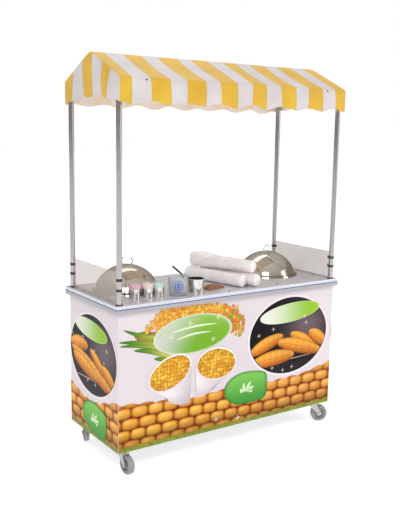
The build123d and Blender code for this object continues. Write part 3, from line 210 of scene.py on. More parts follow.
# ---------------------------------------------------------------- finishes
class Finish:
    """A material's node tree, with short calls for the nodes that finishes share."""

    def __init__(self, name, rough, metal=0.0, **sockets):
        self.material = bpy.data.materials.new(name)
        self.material.use_nodes = True
        self.tree = self.material.node_tree
        self.shader = self.tree.nodes["Principled BSDF"]
        self.shader.inputs["Roughness"].default_value = rough
        self.shader.inputs["Metallic"].default_value = metal
        for socket, value in sockets.items():
            self.shader.inputs[socket.replace("_", " ")].default_value = value
        self.coords = self.tree.nodes.new("ShaderNodeTexCoord")

    def link(self, out, into):
        self.tree.links.new(out, into)

    def split(self, coords):
        parts = self.tree.nodes.new("ShaderNodeSeparateXYZ")
        self.link(self.coords.outputs[coords], parts.inputs[0])
        return parts.outputs

    def place(self, stretch=(1, 1, 1), turn=0.0):
        """Object coordinates, turned about Z and stretched."""
        mapping = self.tree.nodes.new("ShaderNodeMapping")
        mapping.inputs["Scale"].default_value = stretch
        mapping.inputs["Rotation"].default_value = (0, 0, turn)
        self.link(self.coords.outputs["Object"], mapping.inputs["Vector"])
        return mapping.outputs[0]

    def noise(self, where, scale, detail=3.0, rough=0.55):
        cloud = self.tree.nodes.new("ShaderNodeTexNoise")
        cloud.inputs["Scale"].default_value = scale
        cloud.inputs["Detail"].default_value = detail
        cloud.inputs["Roughness"].default_value = rough
        self.link(where, cloud.inputs["Vector"])
        return cloud.outputs[0]

    def ramp(self, value, tones, hard=False):
        """Colours at positions along a value, smooth or with hard edges."""
        band = self.tree.nodes.new("ShaderNodeValToRGB")
        if hard:
            band.color_ramp.interpolation = "CONSTANT"
        set_stops(band.color_ramp, tones)
        self.link(value, band.inputs[0])
        return band.outputs[0]

    def sum(self, operation, first, second=None):
        """A Math node on sockets or numbers."""
        maths = self.tree.nodes.new("ShaderNodeMath")
        maths.operation = operation
        for socket, value in zip(maths.inputs, (first, second)):
            if isinstance(value, (int, float)):
                socket.default_value = value
            elif value is not None:
                self.link(value, socket)
        return maths.outputs[0]

    def mix(self, share, first, second, blend="MIX"):
        """Two colours, mixed by a share."""
        mixer = self.tree.nodes.new("ShaderNodeMix")
        mixer.data_type = "RGBA"
        mixer.blend_type = blend
        for socket, value in ((0, share), (6, first), (7, second)):
            if isinstance(value, (int, float)):
                mixer.inputs[socket].default_value = value
            elif isinstance(value, tuple):
                mixer.inputs[socket].default_value = (*value, 1)
            else:
                self.link(value, mixer.inputs[socket])
        return mixer.outputs[2]

    def range(self, value, low, high):
        span = self.tree.nodes.new("ShaderNodeMapRange")
        span.inputs["To Min"].default_value = low
        span.inputs["To Max"].default_value = high
        self.link(value, span.inputs["Value"])
        return span.outputs[0]

    def colour(self, value):
        self.link(value, self.shader.inputs["Base Color"])

    def rough(self, value, low, high):
        self.link(self.range(value, low, high), self.shader.inputs["Roughness"])

    def bump(self, height, strength, depth=0.001):
        relief = self.tree.nodes.new("ShaderNodeBump")
        relief.inputs["Strength"].default_value = strength
        relief.inputs["Distance"].default_value = depth
        self.link(height, relief.inputs["Height"])
        self.link(relief.outputs[0], self.shader.inputs["Normal"])


def mottled(name, tones, scale, rough, bump, grain, stretch=(1, 1, 1), metal=0.0, **sockets):
    """A finish whose colour drifts through tones, and its roughness through a range, on noise
    stretched along the axes, with a fine grain in its relief."""
    made = Finish(name, sum(rough) / 2, metal, **sockets)
    where = made.place(stretch)
    drift = made.noise(where, scale)
    count = len(tones) - 1
    made.colour(made.ramp(drift, [(0.3 + 0.4 * i / count, tone) for i, tone in enumerate(tones)]))
    made.rough(made.noise(where, scale * 2.3), *rough)
    made.bump(made.noise(where, grain), bump, 0.0004)
    return made.material


def dress(finish, *names):
    """Gives CAD nodes a finish; a name that ends in a star takes every node that starts so."""
    for name in names:
        for node, item in nodes.items():
            if node == name or (name.endswith("*") and node.startswith(name[:-1])):
                item.data.materials.clear()
                item.data.materials.append(finish)


CAD_FINISHES = (  # name, tones, scale of their drift, roughness, relief, grain, more, nodes
    ("mirror_steel", ((0.42, 0.375, 0.325), (0.53, 0.48, 0.42)), 5, (0.07, 0.15), 0.05, 40,
     {"stretch": (1, 1, 3), "metal": 1.0}, ("lid_left", "lid_right", "pot_*")),
    ("screen_acrylic", ((0.5, 0.43, 0.39), (0.57, 0.5, 0.46)), 4, (0.05, 0.12), 0.04, 50,
     {"Alpha": 0.42}, ("left_screen", "right_screen")),
    ("post_steel", ((0.38, 0.36, 0.37), (0.56, 0.54, 0.55)), 6, (0.14, 0.26), 0.1, 300,
     {"stretch": (1, 1, 0.05), "metal": 1.0}, ("post_front*", "post_back*")),
    ("wire_chrome", ((0.62, 0.61, 0.6), (0.74, 0.73, 0.72)), 30, (0.08, 0.18), 0.05, 200,
     {"metal": 1.0}, ("lid_handle_*", "door_handle_*", "door_hinges")),
    ("shaker_steel", ((0.6, 0.58, 0.56), (0.74, 0.73, 0.71)), 20, (0.1, 0.22), 0.08, 200,
     {"stretch": (1, 1, 0.1), "metal": 1.0}, ("shaker_jar_*", "saucepan")),
    ("panel_board", ((0.65, 0.59, 0.63), (0.72, 0.66, 0.7)), 2.5, (0.28, 0.4), 0.05, 500,
     {"Coat_Weight": 0.1, "Coat_Roughness": 0.2}, ("front_panel", "left_panel", "right_panel")),
    ("door_board", ((0.7, 0.69, 0.69), (0.78, 0.77, 0.77)), 3, (0.3, 0.45), 0.08, 600,
     {}, ("control_panel", "door_left", "door_right")),
    ("frame_paint", ((0.34, 0.34, 0.35), (0.46, 0.46, 0.47)), 9, (0.35, 0.55), 0.2, 500,
     {"metal": 0.6}, ("chassis_frame", "burner_shelf", "floor_deck")),
    ("burner_iron", ((0.05, 0.05, 0.05), (0.12, 0.1, 0.09)), 25, (0.55, 0.8), 0.5, 900,
     {"metal": 0.5}, ("gas_burners",)),
    ("black_plastic", ((0.012, 0.012, 0.014), (0.03, 0.03, 0.033)), 40, (0.28, 0.45), 0.15, 1200,
     {}, ("gas_knob_*", "post_collars", "saucepan_handle", "brake_pedal_*")),
    ("roof_tube", ((0.55, 0.55, 0.56), (0.68, 0.68, 0.69)), 8, (0.25, 0.45), 0.15, 500,
     {"metal": 0.8}, ("roof_frame",)),
    ("dark_screw", ((0.03, 0.03, 0.035), (0.08, 0.08, 0.085)), 60, (0.3, 0.5), 0.1, 900,
     {"metal": 0.7}, ("fixing_screws",)),
    ("caster_zinc", ((0.42, 0.41, 0.41), (0.6, 0.59, 0.58)), 35, (0.28, 0.5), 0.25, 700,
     {"metal": 1.0}, ("caster_plates", "caster_fork_*")),
    ("caster_hub", ((0.22, 0.21, 0.21), (0.34, 0.33, 0.33)), 40, (0.4, 0.6), 0.2, 900,
     {}, ("caster_hub_*",)),
    ("caster_rubber", ((0.25, 0.235, 0.235), (0.38, 0.36, 0.355)), 28, (0.6, 0.85), 0.4, 900,
     {}, ("caster_tyre_*",)),
    ("pink_cap", ((0.7, 0.42, 0.53), (0.8, 0.52, 0.62)), 30, (0.25, 0.4), 0.1, 900,
     {"Subsurface_Weight": 0.1}, ("shaker_cap_pink",)),
    ("peach_cap", ((0.8, 0.63, 0.55), (0.88, 0.73, 0.66)), 30, (0.25, 0.4), 0.1, 900,
     {"Subsurface_Weight": 0.1}, ("shaker_cap_peach",)),
    ("mint_cap", ((0.46, 0.68, 0.59), (0.57, 0.77, 0.69)), 30, (0.25, 0.4), 0.1, 900,
     {"Subsurface_Weight": 0.1}, ("shaker_cap_mint",)),
    ("clear_plastic", ((0.82, 0.85, 0.88), (0.92, 0.94, 0.96)), 30, (0.08, 0.2), 0.1, 300,
     {"Transmission_Weight": 0.85, "IOR": 1.45}, ("clear_cup",)),
)
for name, tones, scale, rough, bump, grain, more, worn_by in CAD_FINISHES:
    dress(mottled(name, tones, scale, rough, bump, grain, **more), *worn_by)

FASCIA_FOOT = 0.86
FASCIA_TONES = (  # by height over 50 mm from the fascia's foot: fold, blue line, fascia, top
    (0.0, (0.52, 0.50, 0.52)),
    (0.46, (0.08, 0.12, 0.30)),
    (0.54, (0.80, 0.83, 0.90)),
    (0.79, (0.92, 0.92, 0.94)),
)


def worktop_steel():
    """Brushed sheet, lilac grey, with a dark blue line along the fascia and grey below it."""
    made = Finish("worktop_steel", 0.35, 0.55)
    where = made.place((1, 14, 14))
    drift = made.noise(where, 3)
    sheet = made.ramp(drift, [(0.3, (0.76, 0.76, 0.80)), (0.7, (0.84, 0.84, 0.87))])
    level = made.sum("DIVIDE", made.sum("SUBTRACT", made.split("Object")[2], FASCIA_FOOT), 0.05)
    made.colour(made.mix(1.0, sheet, made.ramp(level, FASCIA_TONES, hard=True), "MULTIPLY"))
    made.rough(made.noise(where, 7), 0.26, 0.44)
    made.bump(made.noise(where, 60), 0.12, 0.0004)
    return made.material


def oiled_wood():
    """Long streaks of grain along the scoop, which lies turned a little from +X."""
    made = Finish("oiled_wood", 0.5)
    where = made.place((3, 26, 40), -radians(10))
    grain = made.noise(where, 9, 5, 0.6)
    tones = [(0.25, (0.12, 0.045, 0.018)), (0.5, (0.30, 0.13, 0.05)), (0.75, (0.45, 0.22, 0.10))]
    made.colour(made.ramp(grain, tones))
    made.rough(grain, 0.4, 0.65)
    made.bump(grain, 0.3)
    return made.material


dress(worktop_steel(), "worktop")
dress(oiled_wood(), "wooden_scoop")

# ---------------------------------------------------------------- canopy
STRIPE_EDGES = (-735, -670, -566, -454, -358, -241, -155, -46,
                53, 147, 245, 355, 447, 553, 646, 735)  # millimetres along the roof
GABLE_EDGES = (-305, -205, -130, -30, 75, 190, 305)  # millimetres across an end
HALF_X, HALF_Y = 0.735, 0.305
EAVE, RIDGE, HEM = 2.005, 2.140, 1.881
BAY = 0.694  # from the middle to the end rafters
RIDGE_SOFT = 0.05  # share of the half depth over which the ridge is rounded
ROOF_SAG = 0.011
GABLE_ARCH = 0.040  # how far the hem of an end rises at its middle
CLOTH = 0.0016


def striped_cloth():
    """Yellow and white stripes by the chart's first coordinate, with a sewn line between."""
    made = Finish("striped_cloth", 0.62, Sheen_Weight=0.15, Sheen_Roughness=0.5)
    phase = made.sum("FLOORED_MODULO", made.split("UV")[0], 2.0)
    where = made.place()
    cloud = made.noise(where, 7)
    yellow = made.ramp(cloud, [(0.3, (0.60, 0.345, 0.012)), (0.7, (0.69, 0.43, 0.022))])
    white = made.ramp(cloud, [(0.3, (0.55, 0.50, 0.51)), (0.7, (0.64, 0.60, 0.61))])
    cloth = made.mix(made.sum("GREATER_THAN", phase, 1.0), yellow, white)
    edge = made.sum("ABSOLUTE", made.sum("SUBTRACT", made.sum("FRACT", phase), 0.5))
    seam = made.sum("GREATER_THAN", edge, 0.489)
    made.colour(made.mix(made.sum("MULTIPLY", seam, 0.3), cloth, (0.42, 0.33, 0.2)))
    made.rough(cloud, 0.52, 0.72)
    weave = made.noise(where, 1400, 1)
    folds = made.noise(where, 11, 2)
    made.bump(made.sum("ADD", made.sum("MULTIPLY", weave, 0.12), folds), 0.5, 0.004)
    return made.material


def lining_cloth():
    """The pale inside of the cover, where the stripes show through faintly."""
    made = Finish("lining_cloth", 0.75)
    striped = made.sum("GREATER_THAN", made.sum("FLOORED_MODULO", made.split("UV")[0], 2.0), 1.0)
    where = made.place()
    cloud = made.noise(where, 7)
    light = made.ramp(cloud, [(0.3, (0.80, 0.70, 0.62)), (0.7, (0.88, 0.79, 0.72))])
    made.colour(made.mix(striped, made.mix(0.35, light, (0.82, 0.62, 0.30)), light))
    made.rough(cloud, 0.65, 0.85)
    made.bump(made.noise(where, 1400, 1), 0.3, 0.001)
    return made.material


def roof_height(across):
    """Height of the roof line at a fraction of the half depth: a hyperbola, round at the ridge."""
    fall = np.sqrt(across**2 + RIDGE_SOFT**2) - RIDGE_SOFT
    return RIDGE - (RIDGE - EAVE) * fall / (np.sqrt(1 + RIDGE_SOFT**2) - RIDGE_SOFT)


def make_canopy():
    """A sheet of five joined grids.  Roof: height is the rounded gable line less a sag of sine
    squares between rafters.  Sides and ends hang from its edges, and go out and down by cosine
    waves that grow to the hem and die away at the corners; the ends' hems arch by a cosine."""
    x = even(-HALF_X, HALF_X, 141)
    s = np.sin(even(-pi / 2, pi / 2, 34)) * 0.35 + even(-1, 1, 34) * 0.65
    v = even(0, 1, 13)
    stripe = np.interp(x * 1000, STRIPE_EDGES, np.arange(16))
    X, S = np.meshgrid(x, s, indexing="ij")
    bay = np.clip(np.abs(X) / BAY, 0, 1)
    sag = ROOF_SAG * np.sin(pi * bay) ** 2 * np.sin(pi * np.abs(S)) ** 1.2
    creep = 0.0018 * np.sin(pi * np.abs(S)) * np.sin(41 * X + 3 * S) * np.sin(pi * bay)
    roof = np.stack([X, S * HALF_Y, roof_height(S) - sag + creep], -1)
    grids = [roof]
    charts = [np.stack([np.repeat(stripe[:, None], len(s), 1), S * 0.33], -1)]

    X, V = np.meshgrid(x, v, indexing="ij")
    K = np.repeat(stripe[:, None], len(v), 1)
    corner = np.minimum(1, (HALF_X - np.abs(X)) / 0.05)
    for sy in (-1, 1):
        shift = 0.0 if sy < 0 else 0.7
        wave = np.cos(pi * (K - 1 - shift))
        drop = EAVE - HEM - 0.006 + corner * (0.009 * wave + 0.003 * np.sin(2.3 * K + sy))
        billow = V**1.4 * (0.006 + 0.007 * np.cos(pi * (K - 0.5 - shift)))
        swell = corner * (0.006 * np.sin(pi * V) + billow)
        side = np.stack([X, sy * (HALF_Y + swell), roof_height(1.0) - V * drop], -1)
        lean = np.stack([K + 0.05 * V * corner * np.sin(1.7 * K), V * 0.124], -1)
        order = slice(None, None, -1) if sy < 0 else slice(None)
        grids.append(side[:, order])
        charts.append(lean[:, order])

    S, V = np.meshgrid(s, v, indexing="ij")
    Y = S * HALF_Y
    corner = np.minimum(1, (1 - np.abs(S)) / 0.12)
    for sx in (-1, 1):
        band = np.interp(Y * 1000, GABLE_EDGES, np.arange(7) + 1) + (0 if sx < 0 else 1)
        top = roof_height(S)
        arch = GABLE_ARCH * np.cos(pi / 2 * S) ** 0.7
        ripple = 0.004 - 0.007 * np.cos(3 * pi * (S + 1))
        drop = top - (HEM + 0.006) - arch + corner * ripple
        swell = corner * (0.004 * np.sin(pi * V) + V * (0.004 + 0.006 * np.sin(9 * S + 1.2 * V)))
        gable = np.stack([sx * (HALF_X + swell), Y, top - V * drop], -1)
        lean = np.stack([band + 0.25 * corner * (V - 0.4) * np.sin(4 * S + 1), V * 0.2], -1)
        order = slice(None) if sx < 0 else slice(None, None, -1)
        grids.append(gable[:, order])
        charts.append(lean[:, order])
    cover = lay_mesh("canopy_cloth", grids, chart=charts, weld=True)
    work = bmesh.new()
    work.from_mesh(cover.data)
    bmesh.ops.recalc_face_normals(work, faces=work.faces)
    work.faces.ensure_lookup_table()
    if max(work.faces, key=lambda face: face.calc_center_median().z).normal.z < 0:
        bmesh.ops.reverse_faces(work, faces=work.faces)
    work.to_mesh(cover.data)
    work.free()
    fine = cover.modifiers.new("fine", "SUBSURF")
    fine.levels = fine.render_levels = 1
    thick = cover.modifiers.new("thick", "SOLIDIFY")
    thick.thickness = CLOTH
    thick.offset = -1
    thick.material_offset = 1
    on_cart(cover, "cart", "canopy_fabric", striped_cloth(), "canopy_cover")
    cover.data.materials.append(lining_cloth())


make_canopy()


# ---------------------------------------------------------------- printed artwork
FRONT_FACE, END_FACE = 0.279, 0.729  # outer faces of the cabinet's panels
INK = 0.0003  # a layer of ink
PANEL_FOOT, CORN_FOOT = 0.1308, 0.156  # heights of the olive strip's and the kernels' feet
KERNEL_WIDE, KERNEL_HIGH = 0.098, 0.059


def tone(red, green, blue):
    """A colour given as it looks, turned to the linear scale of light."""
    look = np.array((red, green, blue)) / 255
    return np.where(look < 0.04, look / 12.92, ((look + 0.055) / 1.055) ** 2.4)


def blend(share, first, second):
    return first + (second - first) * np.asarray(share)[..., None]


def cells(a, b):
    """For points on a plane of unit cells, each with one point scattered in it: the distance
    to the nearest, how much further the second is, and a fixed scatter for the nearest."""
    near = np.full(a.shape, 9.0)
    second = np.full(a.shape, 9.0)
    mark = np.zeros(a.shape)
    for i in (-1, 0, 1):
        for j in (-1, 0, 1):
            p, q = np.floor(a) + i, np.floor(b) + j
            gap = np.hypot(p + 0.2 + 0.6 * chance(p, q) - a, q + 0.2 + 0.6 * chance(q + 7, p) - b)
            closer = gap < near
            second = np.where(closer, near, np.minimum(second, gap))
            mark = np.where(closer, chance(p + 3, q + 11), mark)
            near = np.where(closer, gap, near)
    return near, second - near, mark


def loose_corn(t, z, pitch, low, high, deep):
    """Piled kernels: tone runs from low to high by kernel, brighter at its middle, deep between."""
    near, gap, mark = cells(t / pitch, z / pitch)
    body = blend(mark, low, high) * (1.18 - 0.5 * near)[..., None]
    return blend(step(0.0, 0.16, gap), deep, body)


def corn_rows(t, z):
    """Rows of large kernels laid like bricks: a rounded square gives each its outline, and its
    tone is lighter above its middle and along the row it belongs to."""
    rise = (z + 0.012 * np.sin(2.2 * t)) / KERNEL_HIGH
    row = np.floor(rise)
    down = rise - row
    shift = 0.5 * (row % 2) + 0.3 * chance(row, 2) + 0.10 * np.sin(9 * t + 2 * row)
    along = t / KERNEL_WIDE + shift
    col = np.floor(along)
    u, w = 2 * (along - col) - 1, 2 * down - 1
    mark = chance(col, row)
    rim = np.abs(u) ** 3.4 + np.abs(w) ** 3.0
    base = blend(step(-0.6, 0.6, t), tone(232, 176, 66), tone(224, 160, 74))
    base = blend(mark * 0.5, base, tone(206, 126, 38))
    light = 1.04 + 0.38 * w - 0.1 * u - 0.55 * rim**1.5
    body = blend(step(0.3, 1.0, rim), base * light[..., None], tone(172, 78, 18))
    shine = np.exp(-((u + 0.25) ** 2 / 0.10 + (w - 0.35) ** 2 / 0.06))
    body = blend(0.45 * shine, body, tone(250, 222, 146))
    return blend(step(0.84, 1.08, rim), body, tone(104, 40, 12))


def plain(*look):
    """A paint of one colour, for any patch."""
    return lambda first, *rest: np.broadcast_to(tone(*look), first.shape + (3,))


class Artwork:
    """Flat patches of ink on one cabinet panel, each layer a hair further out.  A point is
    given by t, to the right as one faces the panel, and its height z."""

    FACES = {
        "front": lambda t, z, out: (t, -FRONT_FACE - out, z),
        "left": lambda t, z, out: (-END_FACE - out, -t, z),
        "right": lambda t, z, out: (END_FACE + out, t, z),
    }

    def __init__(self, face):
        self.face, self.grids, self.inks = face, [], []

    def add(self, t, z, ink, layer):
        out = np.full(t.shape, INK * layer)
        self.grids.append(np.stack(np.broadcast_arrays(*self.FACES[self.face](t, z, out)), -1))
        self.inks.append(np.broadcast_to(ink, t.shape + (3,)))

    def oval(self, centre, half, turn, paint, layer, rings=10, spokes=60, edge=None):
        """An ellipse, turned by degrees, of rings and spokes; edge scales its radius by angle."""
        r, a = np.meshgrid(even(0, 1, rings), even(0, 2 * pi, spokes + 1), indexing="ij")
        reach = r * (edge(a) if edge else 1.0)
        p, q = half[0] * reach * np.cos(a), half[1] * reach * np.sin(a)
        k, m = cos(radians(turn)), sin(radians(turn))
        t, z = centre[0] + p * k - q * m, centre[1] + p * m + q * k
        self.add(t, z, paint(t, z, r, a), layer)

    def blade(self, foot, tip, width, bend, paint, layer, cut=None, blunt=0.9, full=0.55):
        """A long shape from foot to tip: its width is a sine raised to a power, bowed sideways
        by bend, and held inside the ellipse cut, given by its centre and halves."""
        u, w = np.meshgrid(even(0.002, 0.998, 34), even(-1, 1, 15), indexing="ij")
        along = np.subtract(tip, foot)
        side = np.array((-along[1], along[0])) / np.hypot(*along)
        bulge = width * np.sin(pi * u**blunt) ** full
        t = foot[0] + along[0] * u + side[0] * (bulge * w + bend * np.sin(pi * u))
        z = foot[1] + along[1] * u + side[1] * (bulge * w + bend * np.sin(pi * u))
        if cut:
            (ct, cz), (ht, hz) = cut
            far = np.maximum(1.0, np.hypot((t - ct) / ht, (z - cz) / hz))
            t, z = ct + (t - ct) / far, cz + (z - cz) / far
        self.add(t, z, paint(u, w), layer)

    def star(self, centre, size, layer):
        """A four-rayed sparkle, narrow between its rays."""
        ray = lambda a: 0.12 + 0.88 * np.abs(np.cos(2 * a)) ** 9
        glint = lambda t, z, r, a: blend(r, tone(255, 255, 252), tone(240, 225, 200))
        self.oval(centre, (size, size), 0, glint, layer, 4, 48, ray)

    def piece(self, finish):
        made = lay_mesh(f"{self.face}_print", self.grids, ink=self.inks, weld=True)
        on_cart(made, "cart", "printed_panel", finish)


def cob_paint(u, w):
    """A cob: kernels in rows along it, rounded by a cosine across, orange in the hollows."""
    turn = np.arcsin(np.clip(w, -1, 1)) / pi * 9
    fall = np.floor(turn)
    p, q = (u * 20 + 0.5 * (fall % 2)) % 1 - 0.5, turn - fall - 0.5
    grain = 1 - 1.6 * (p**2 + q**2)
    shade = 0.55 + 0.45 * np.sqrt(np.clip(1 - w**2, 0, 1)) + 0.12 * w
    ink = blend(step(0.3, 0.95, grain), tone(214, 104, 22), tone(247, 186, 74))
    ink = blend(step(0.5, -0.9, w) * 0.75, ink, tone(196, 84, 16))
    return ink * (shade * (0.92 + 0.1 * np.sin(5 * u)))[..., None]


def leaf_paint(u, w):
    """A husk leaf: light along the middle, veined lengthways, yellower at the foot."""
    vein = 0.5 + 0.5 * np.cos(w * 14)
    ink = blend(step(0.0, 0.9, u), tone(196, 196, 88), tone(74, 132, 40))
    return ink * (0.72 + 0.3 * (1 - np.abs(w)) + 0.1 * vein)[..., None]


def husk_paint(u, w):
    """A cob still in its coarse husk, olive brown and scaly."""
    near, gap, mark = cells(u * 16, w * 3.5)
    ink = blend(mark, tone(120, 110, 36), tone(196, 160, 60))
    shade = 0.7 + 0.35 * np.sqrt(1 - w**2 * 0.9)
    return blend(step(0, 0.2, gap), tone(66, 62, 18), ink) * shade[..., None]


def cob_dish(art, centre, half, cobs, layer=4):
    """The dark round picture of cobs on a table, in a white ring.  Cobs are given by their feet
    and tips in halves of the ellipse, and by their half widths."""
    ct, cz = centre
    ht, hz = half

    def dusk(t, z, r, a):
        smoke = np.exp(-(((t - ct - 0.14) / 0.15) ** 2 + ((z - cz - 0.05) / 0.12) ** 2))
        dark = blend(0.7 * smoke, tone(14, 11, 13), tone(126, 110, 116))
        return blend(step(cz - 0.155, cz - 0.165, z + 0.03 * (t - ct)), dark, tone(34, 30, 34))

    art.oval(centre, (ht * 1.05, hz * 1.06), 0, plain(238, 226, 232), layer - 1, 3, 84)
    art.oval(centre, half, 0, dusk, layer, 26, 84)
    inside = (centre, (ht * 0.985, hz * 0.985))
    shelf = ((ct - ht * 0.93, cz - hz * 0.69), (ct + ht * 0.72, cz - hz * 0.60))
    art.blade(*shelf, 0.0035, 0, plain(170, 150, 140), layer + 1, inside)
    for number, (foot, tip, width) in enumerate(cobs):
        bottom = (ct + foot[0] * ht, cz + foot[1] * hz)
        top = (ct + tip[0] * ht, cz + tip[1] * hz)
        above = layer + 1.4 + 0.4 * number
        art.blade(bottom, top, width, 0.006, cob_paint, above, inside, 1.0, 0.4)


def green_label(art, centre, half, turn, layer):
    """A plain oval label, pale at one end and leaf green at the other."""
    def fade(t, z, r, a):
        share = step(centre[0] - half[0] * 0.9, centre[0] + half[0] * 0.7, t)
        ink = blend(share, tone(226, 230, 216), tone(146, 192, 48))
        return blend(step(0.93, 0.97, r) * 0.5, ink, tone(228, 240, 190))
    art.oval(centre, half, turn, fade, layer, 14, 60)


# sideways shift of each leaf's foot, its direction in degrees, and its length
SPRIG = ((0.0, 60, 0.9), (0.008, 20, 0.8), (-0.008, 105, 0.8), (-0.020, 150, 0.6),
         (0.020, -18, 0.6))


def leaf_badge(art, centre, half, turn, layer):
    """A green badge, round to the left and squarer to the right, with a plain sprig on it."""
    def edge(a):
        power = 2.1 + 3.4 * step(-0.2, 1.0, np.cos(a + 0.5))
        return (np.abs(np.cos(a)) ** power + np.abs(np.sin(a)) ** power) ** (-1 / power)

    def fill(t, z, r, a):
        share = step(centre[1] - half[1], centre[1] + half[1], z)
        ink = blend(share, tone(70, 150, 58), tone(122, 194, 84))
        return blend(step(0.9, 0.97, r), ink, tone(48, 122, 56))

    art.oval(centre, half, turn, fill, layer, 14, 72, edge)
    pale = lambda u, w: blend(0.4 + 0.3 * np.abs(w), tone(236, 246, 224), tone(180, 220, 150))
    for shift, lean, reach in SPRIG:
        out, up = 0.5 * reach * cos(radians(lean)), 0.7 * reach * sin(radians(lean))
        tip = (centre[0] + half[0] * out, centre[1] - 0.02 + half[1] * up)
        art.blade((centre[0] + shift, centre[1] - 0.024), tip, 0.010, 0.004, pale, layer + 0.5)


def corn_band(art, left, right, edge_t, edge_z):
    """The big kernels along the foot of a panel, under a wavy edge, over an olive strip."""
    count = int((right - left) / 0.0055)
    t, v = np.meshgrid(even(left, right, count), even(0, 1, 48), indexing="ij")
    crest = np.interp(t, edge_t, edge_z) + 0.010 * np.abs(np.sin(pi * t / 0.098 + 0.6)) - 0.006
    z = CORN_FOOT + v * (crest - CORN_FOOT)
    ink = corn_rows(t, z)
    ink = blend(step(0.80, 1.0, v) * 0.35, ink, tone(216, 140, 70))
    ink = blend(step(0.26, 0.155, z) * 0.5, ink, tone(96, 60, 16))
    art.add(t, z, ink, 1)
    t, v = np.meshgrid(even(left, right, 80), even(0, 1, 6), indexing="ij")
    z = PANEL_FOOT + v * (CORN_FOOT - PANEL_FOOT)
    mark = cells(t * 60, z * 40)[2]
    art.add(t, z, blend(mark * 0.5 + 0.3 * v, tone(150, 160, 66), tone(96, 100, 34)), 1)


# foot, tip, half width, bend and layer of each husk leaf
HUSK_LEAVES = (
    ((-0.44, 0.700), (-0.700, 0.776), 0.012, 0.012, 2.5),
    ((-0.42, 0.640), (-0.727, 0.716), 0.013, -0.012, 2.7),
    ((-0.42, 0.615), (-0.722, 0.694), 0.012, -0.020, 2.9),
    ((-0.41, 0.585), (-0.640, 0.662), 0.016, -0.016, 3.1),
    ((-0.40, 0.560), (-0.520, 0.600), 0.014, -0.008, 3.3),
)
OVAL_CENTRE, OVAL_HALF = np.array((-0.276, 0.700)), np.array((0.252, 0.106))
LOOSE_KERNELS = 120
LOOSE_KERNEL_HALF = (0.0125, 0.0095)
FRONT_COBS = (
    ((-0.99, -0.34), (-0.16, 0.02), 0.040),
    ((0.03, 0.04), (0.70, -0.44), 0.036),
    ((0.52, 0.02), (1.0, -0.40), 0.040),
    ((-0.30, -0.14), (0.86, -0.56), 0.044),
    ((-0.94, -0.60), (0.14, -0.52), 0.046),
)
END_COBS = (
    ((-0.99, 0.10), (-0.20, 0.16), 0.040),
    ((-0.94, -0.02), (0.86, -0.74), 0.044),
    ((-0.10, 0.12), (0.52, -0.40), 0.030),
    ((0.38, -0.16), (0.93, -0.56), 0.034),
    ((-0.86, -0.18), (0.18, -0.56), 0.046),
)
OVAL_STARS = ((-0.30, 0.760), (-0.12, 0.772), (-0.42, 0.700), (-0.15, 0.655))
DISH_STARS = ((0.166, 0.625), (0.270, 0.650), (0.52, 0.66), (0.505, 0.70), (0.27, 0.42),
              (0.42, 0.405), (0.35, 0.395))
END_STARS = ((-0.245, 0.65), (-0.11, 0.66), (0.02, 0.61), (0.13, 0.57), (0.16, 0.64),
             (-0.06, 0.43), (0.03, 0.425))
FRONT_CREST = ((-0.73, -0.54, -0.42, -0.26, -0.10, 0.25, 0.49, 0.72),
               (0.389, 0.374, 0.361, 0.341, 0.355, 0.340, 0.346, 0.389))
END_CREST = ((-0.30, -0.10, 0.02, 0.27), (0.372, 0.322, 0.322, 0.398))


def garland(art):
    """A heap of kernels along the top of the oval, its depth a mix of sines, then single
    kernels scattered over its edge; both turn to green and red vegetables on the right."""
    r, a = np.meshgrid(even(0, 1, 18), even(-0.35, 2.9, 190), indexing="ij")
    depth = 0.036 + 0.026 * np.sin(a * 2.2 + 0.4) ** 2
    depth = depth + 0.008 * np.abs(np.sin(a * 17)) + 0.005 * np.sin(a * 41)
    depth = depth * step(0, 0.25, a + 0.35) * step(0, 0.5, 2.9 - a)
    t = OVAL_CENTRE[0] + np.cos(a) * (OVAL_HALF[0] * 0.97 + depth * r * 1.25)
    z = OVAL_CENTRE[1] + np.sin(a) * (OVAL_HALF[1] * 0.97 + depth * r)
    corn = loose_corn(t, z, 0.021, tone(222, 140, 40), tone(246, 196, 84), tone(160, 84, 24))
    green = loose_corn(t, z, 0.017, tone(110, 130, 40), tone(236, 120, 50), tone(96, 70, 20))
    art.add(t, z, blend(step(-0.16, -0.02, t) * 0.75, corn, green), 3.5)
    for number in range(LOOSE_KERNELS):
        turn = -0.32 + 3.15 * (number + 0.7 * chance(number, 5)) / LOOSE_KERNELS
        spread = 0.6 + 0.4 * sin(turn * 2.2 + 0.4) ** 2
        reach = 0.036 + 0.052 * chance(number, 1) * spread
        out = OVAL_HALF * 0.97 + reach * np.array((1.25, 1.0))
        spot = OVAL_CENTRE + out * (cos(turn), sin(turn))
        hue = chance(number, 9)
        look = blend(hue, tone(220, 140, 42), tone(246, 198, 92))
        if spot[0] > -0.10 and chance(number, 3) > 0.35:
            look = tone(150, 168, 60) if hue < 0.4 else tone(232, 122, 56)
        kernel = lambda t, z, r, a, look=look: look * (1.12 - 0.45 * r**2)[..., None]
        layer = 3.6 + 0.006 * number
        art.oval(spot, LOOSE_KERNEL_HALF, 180 * chance(number, 4), kernel, layer, 4, 12)


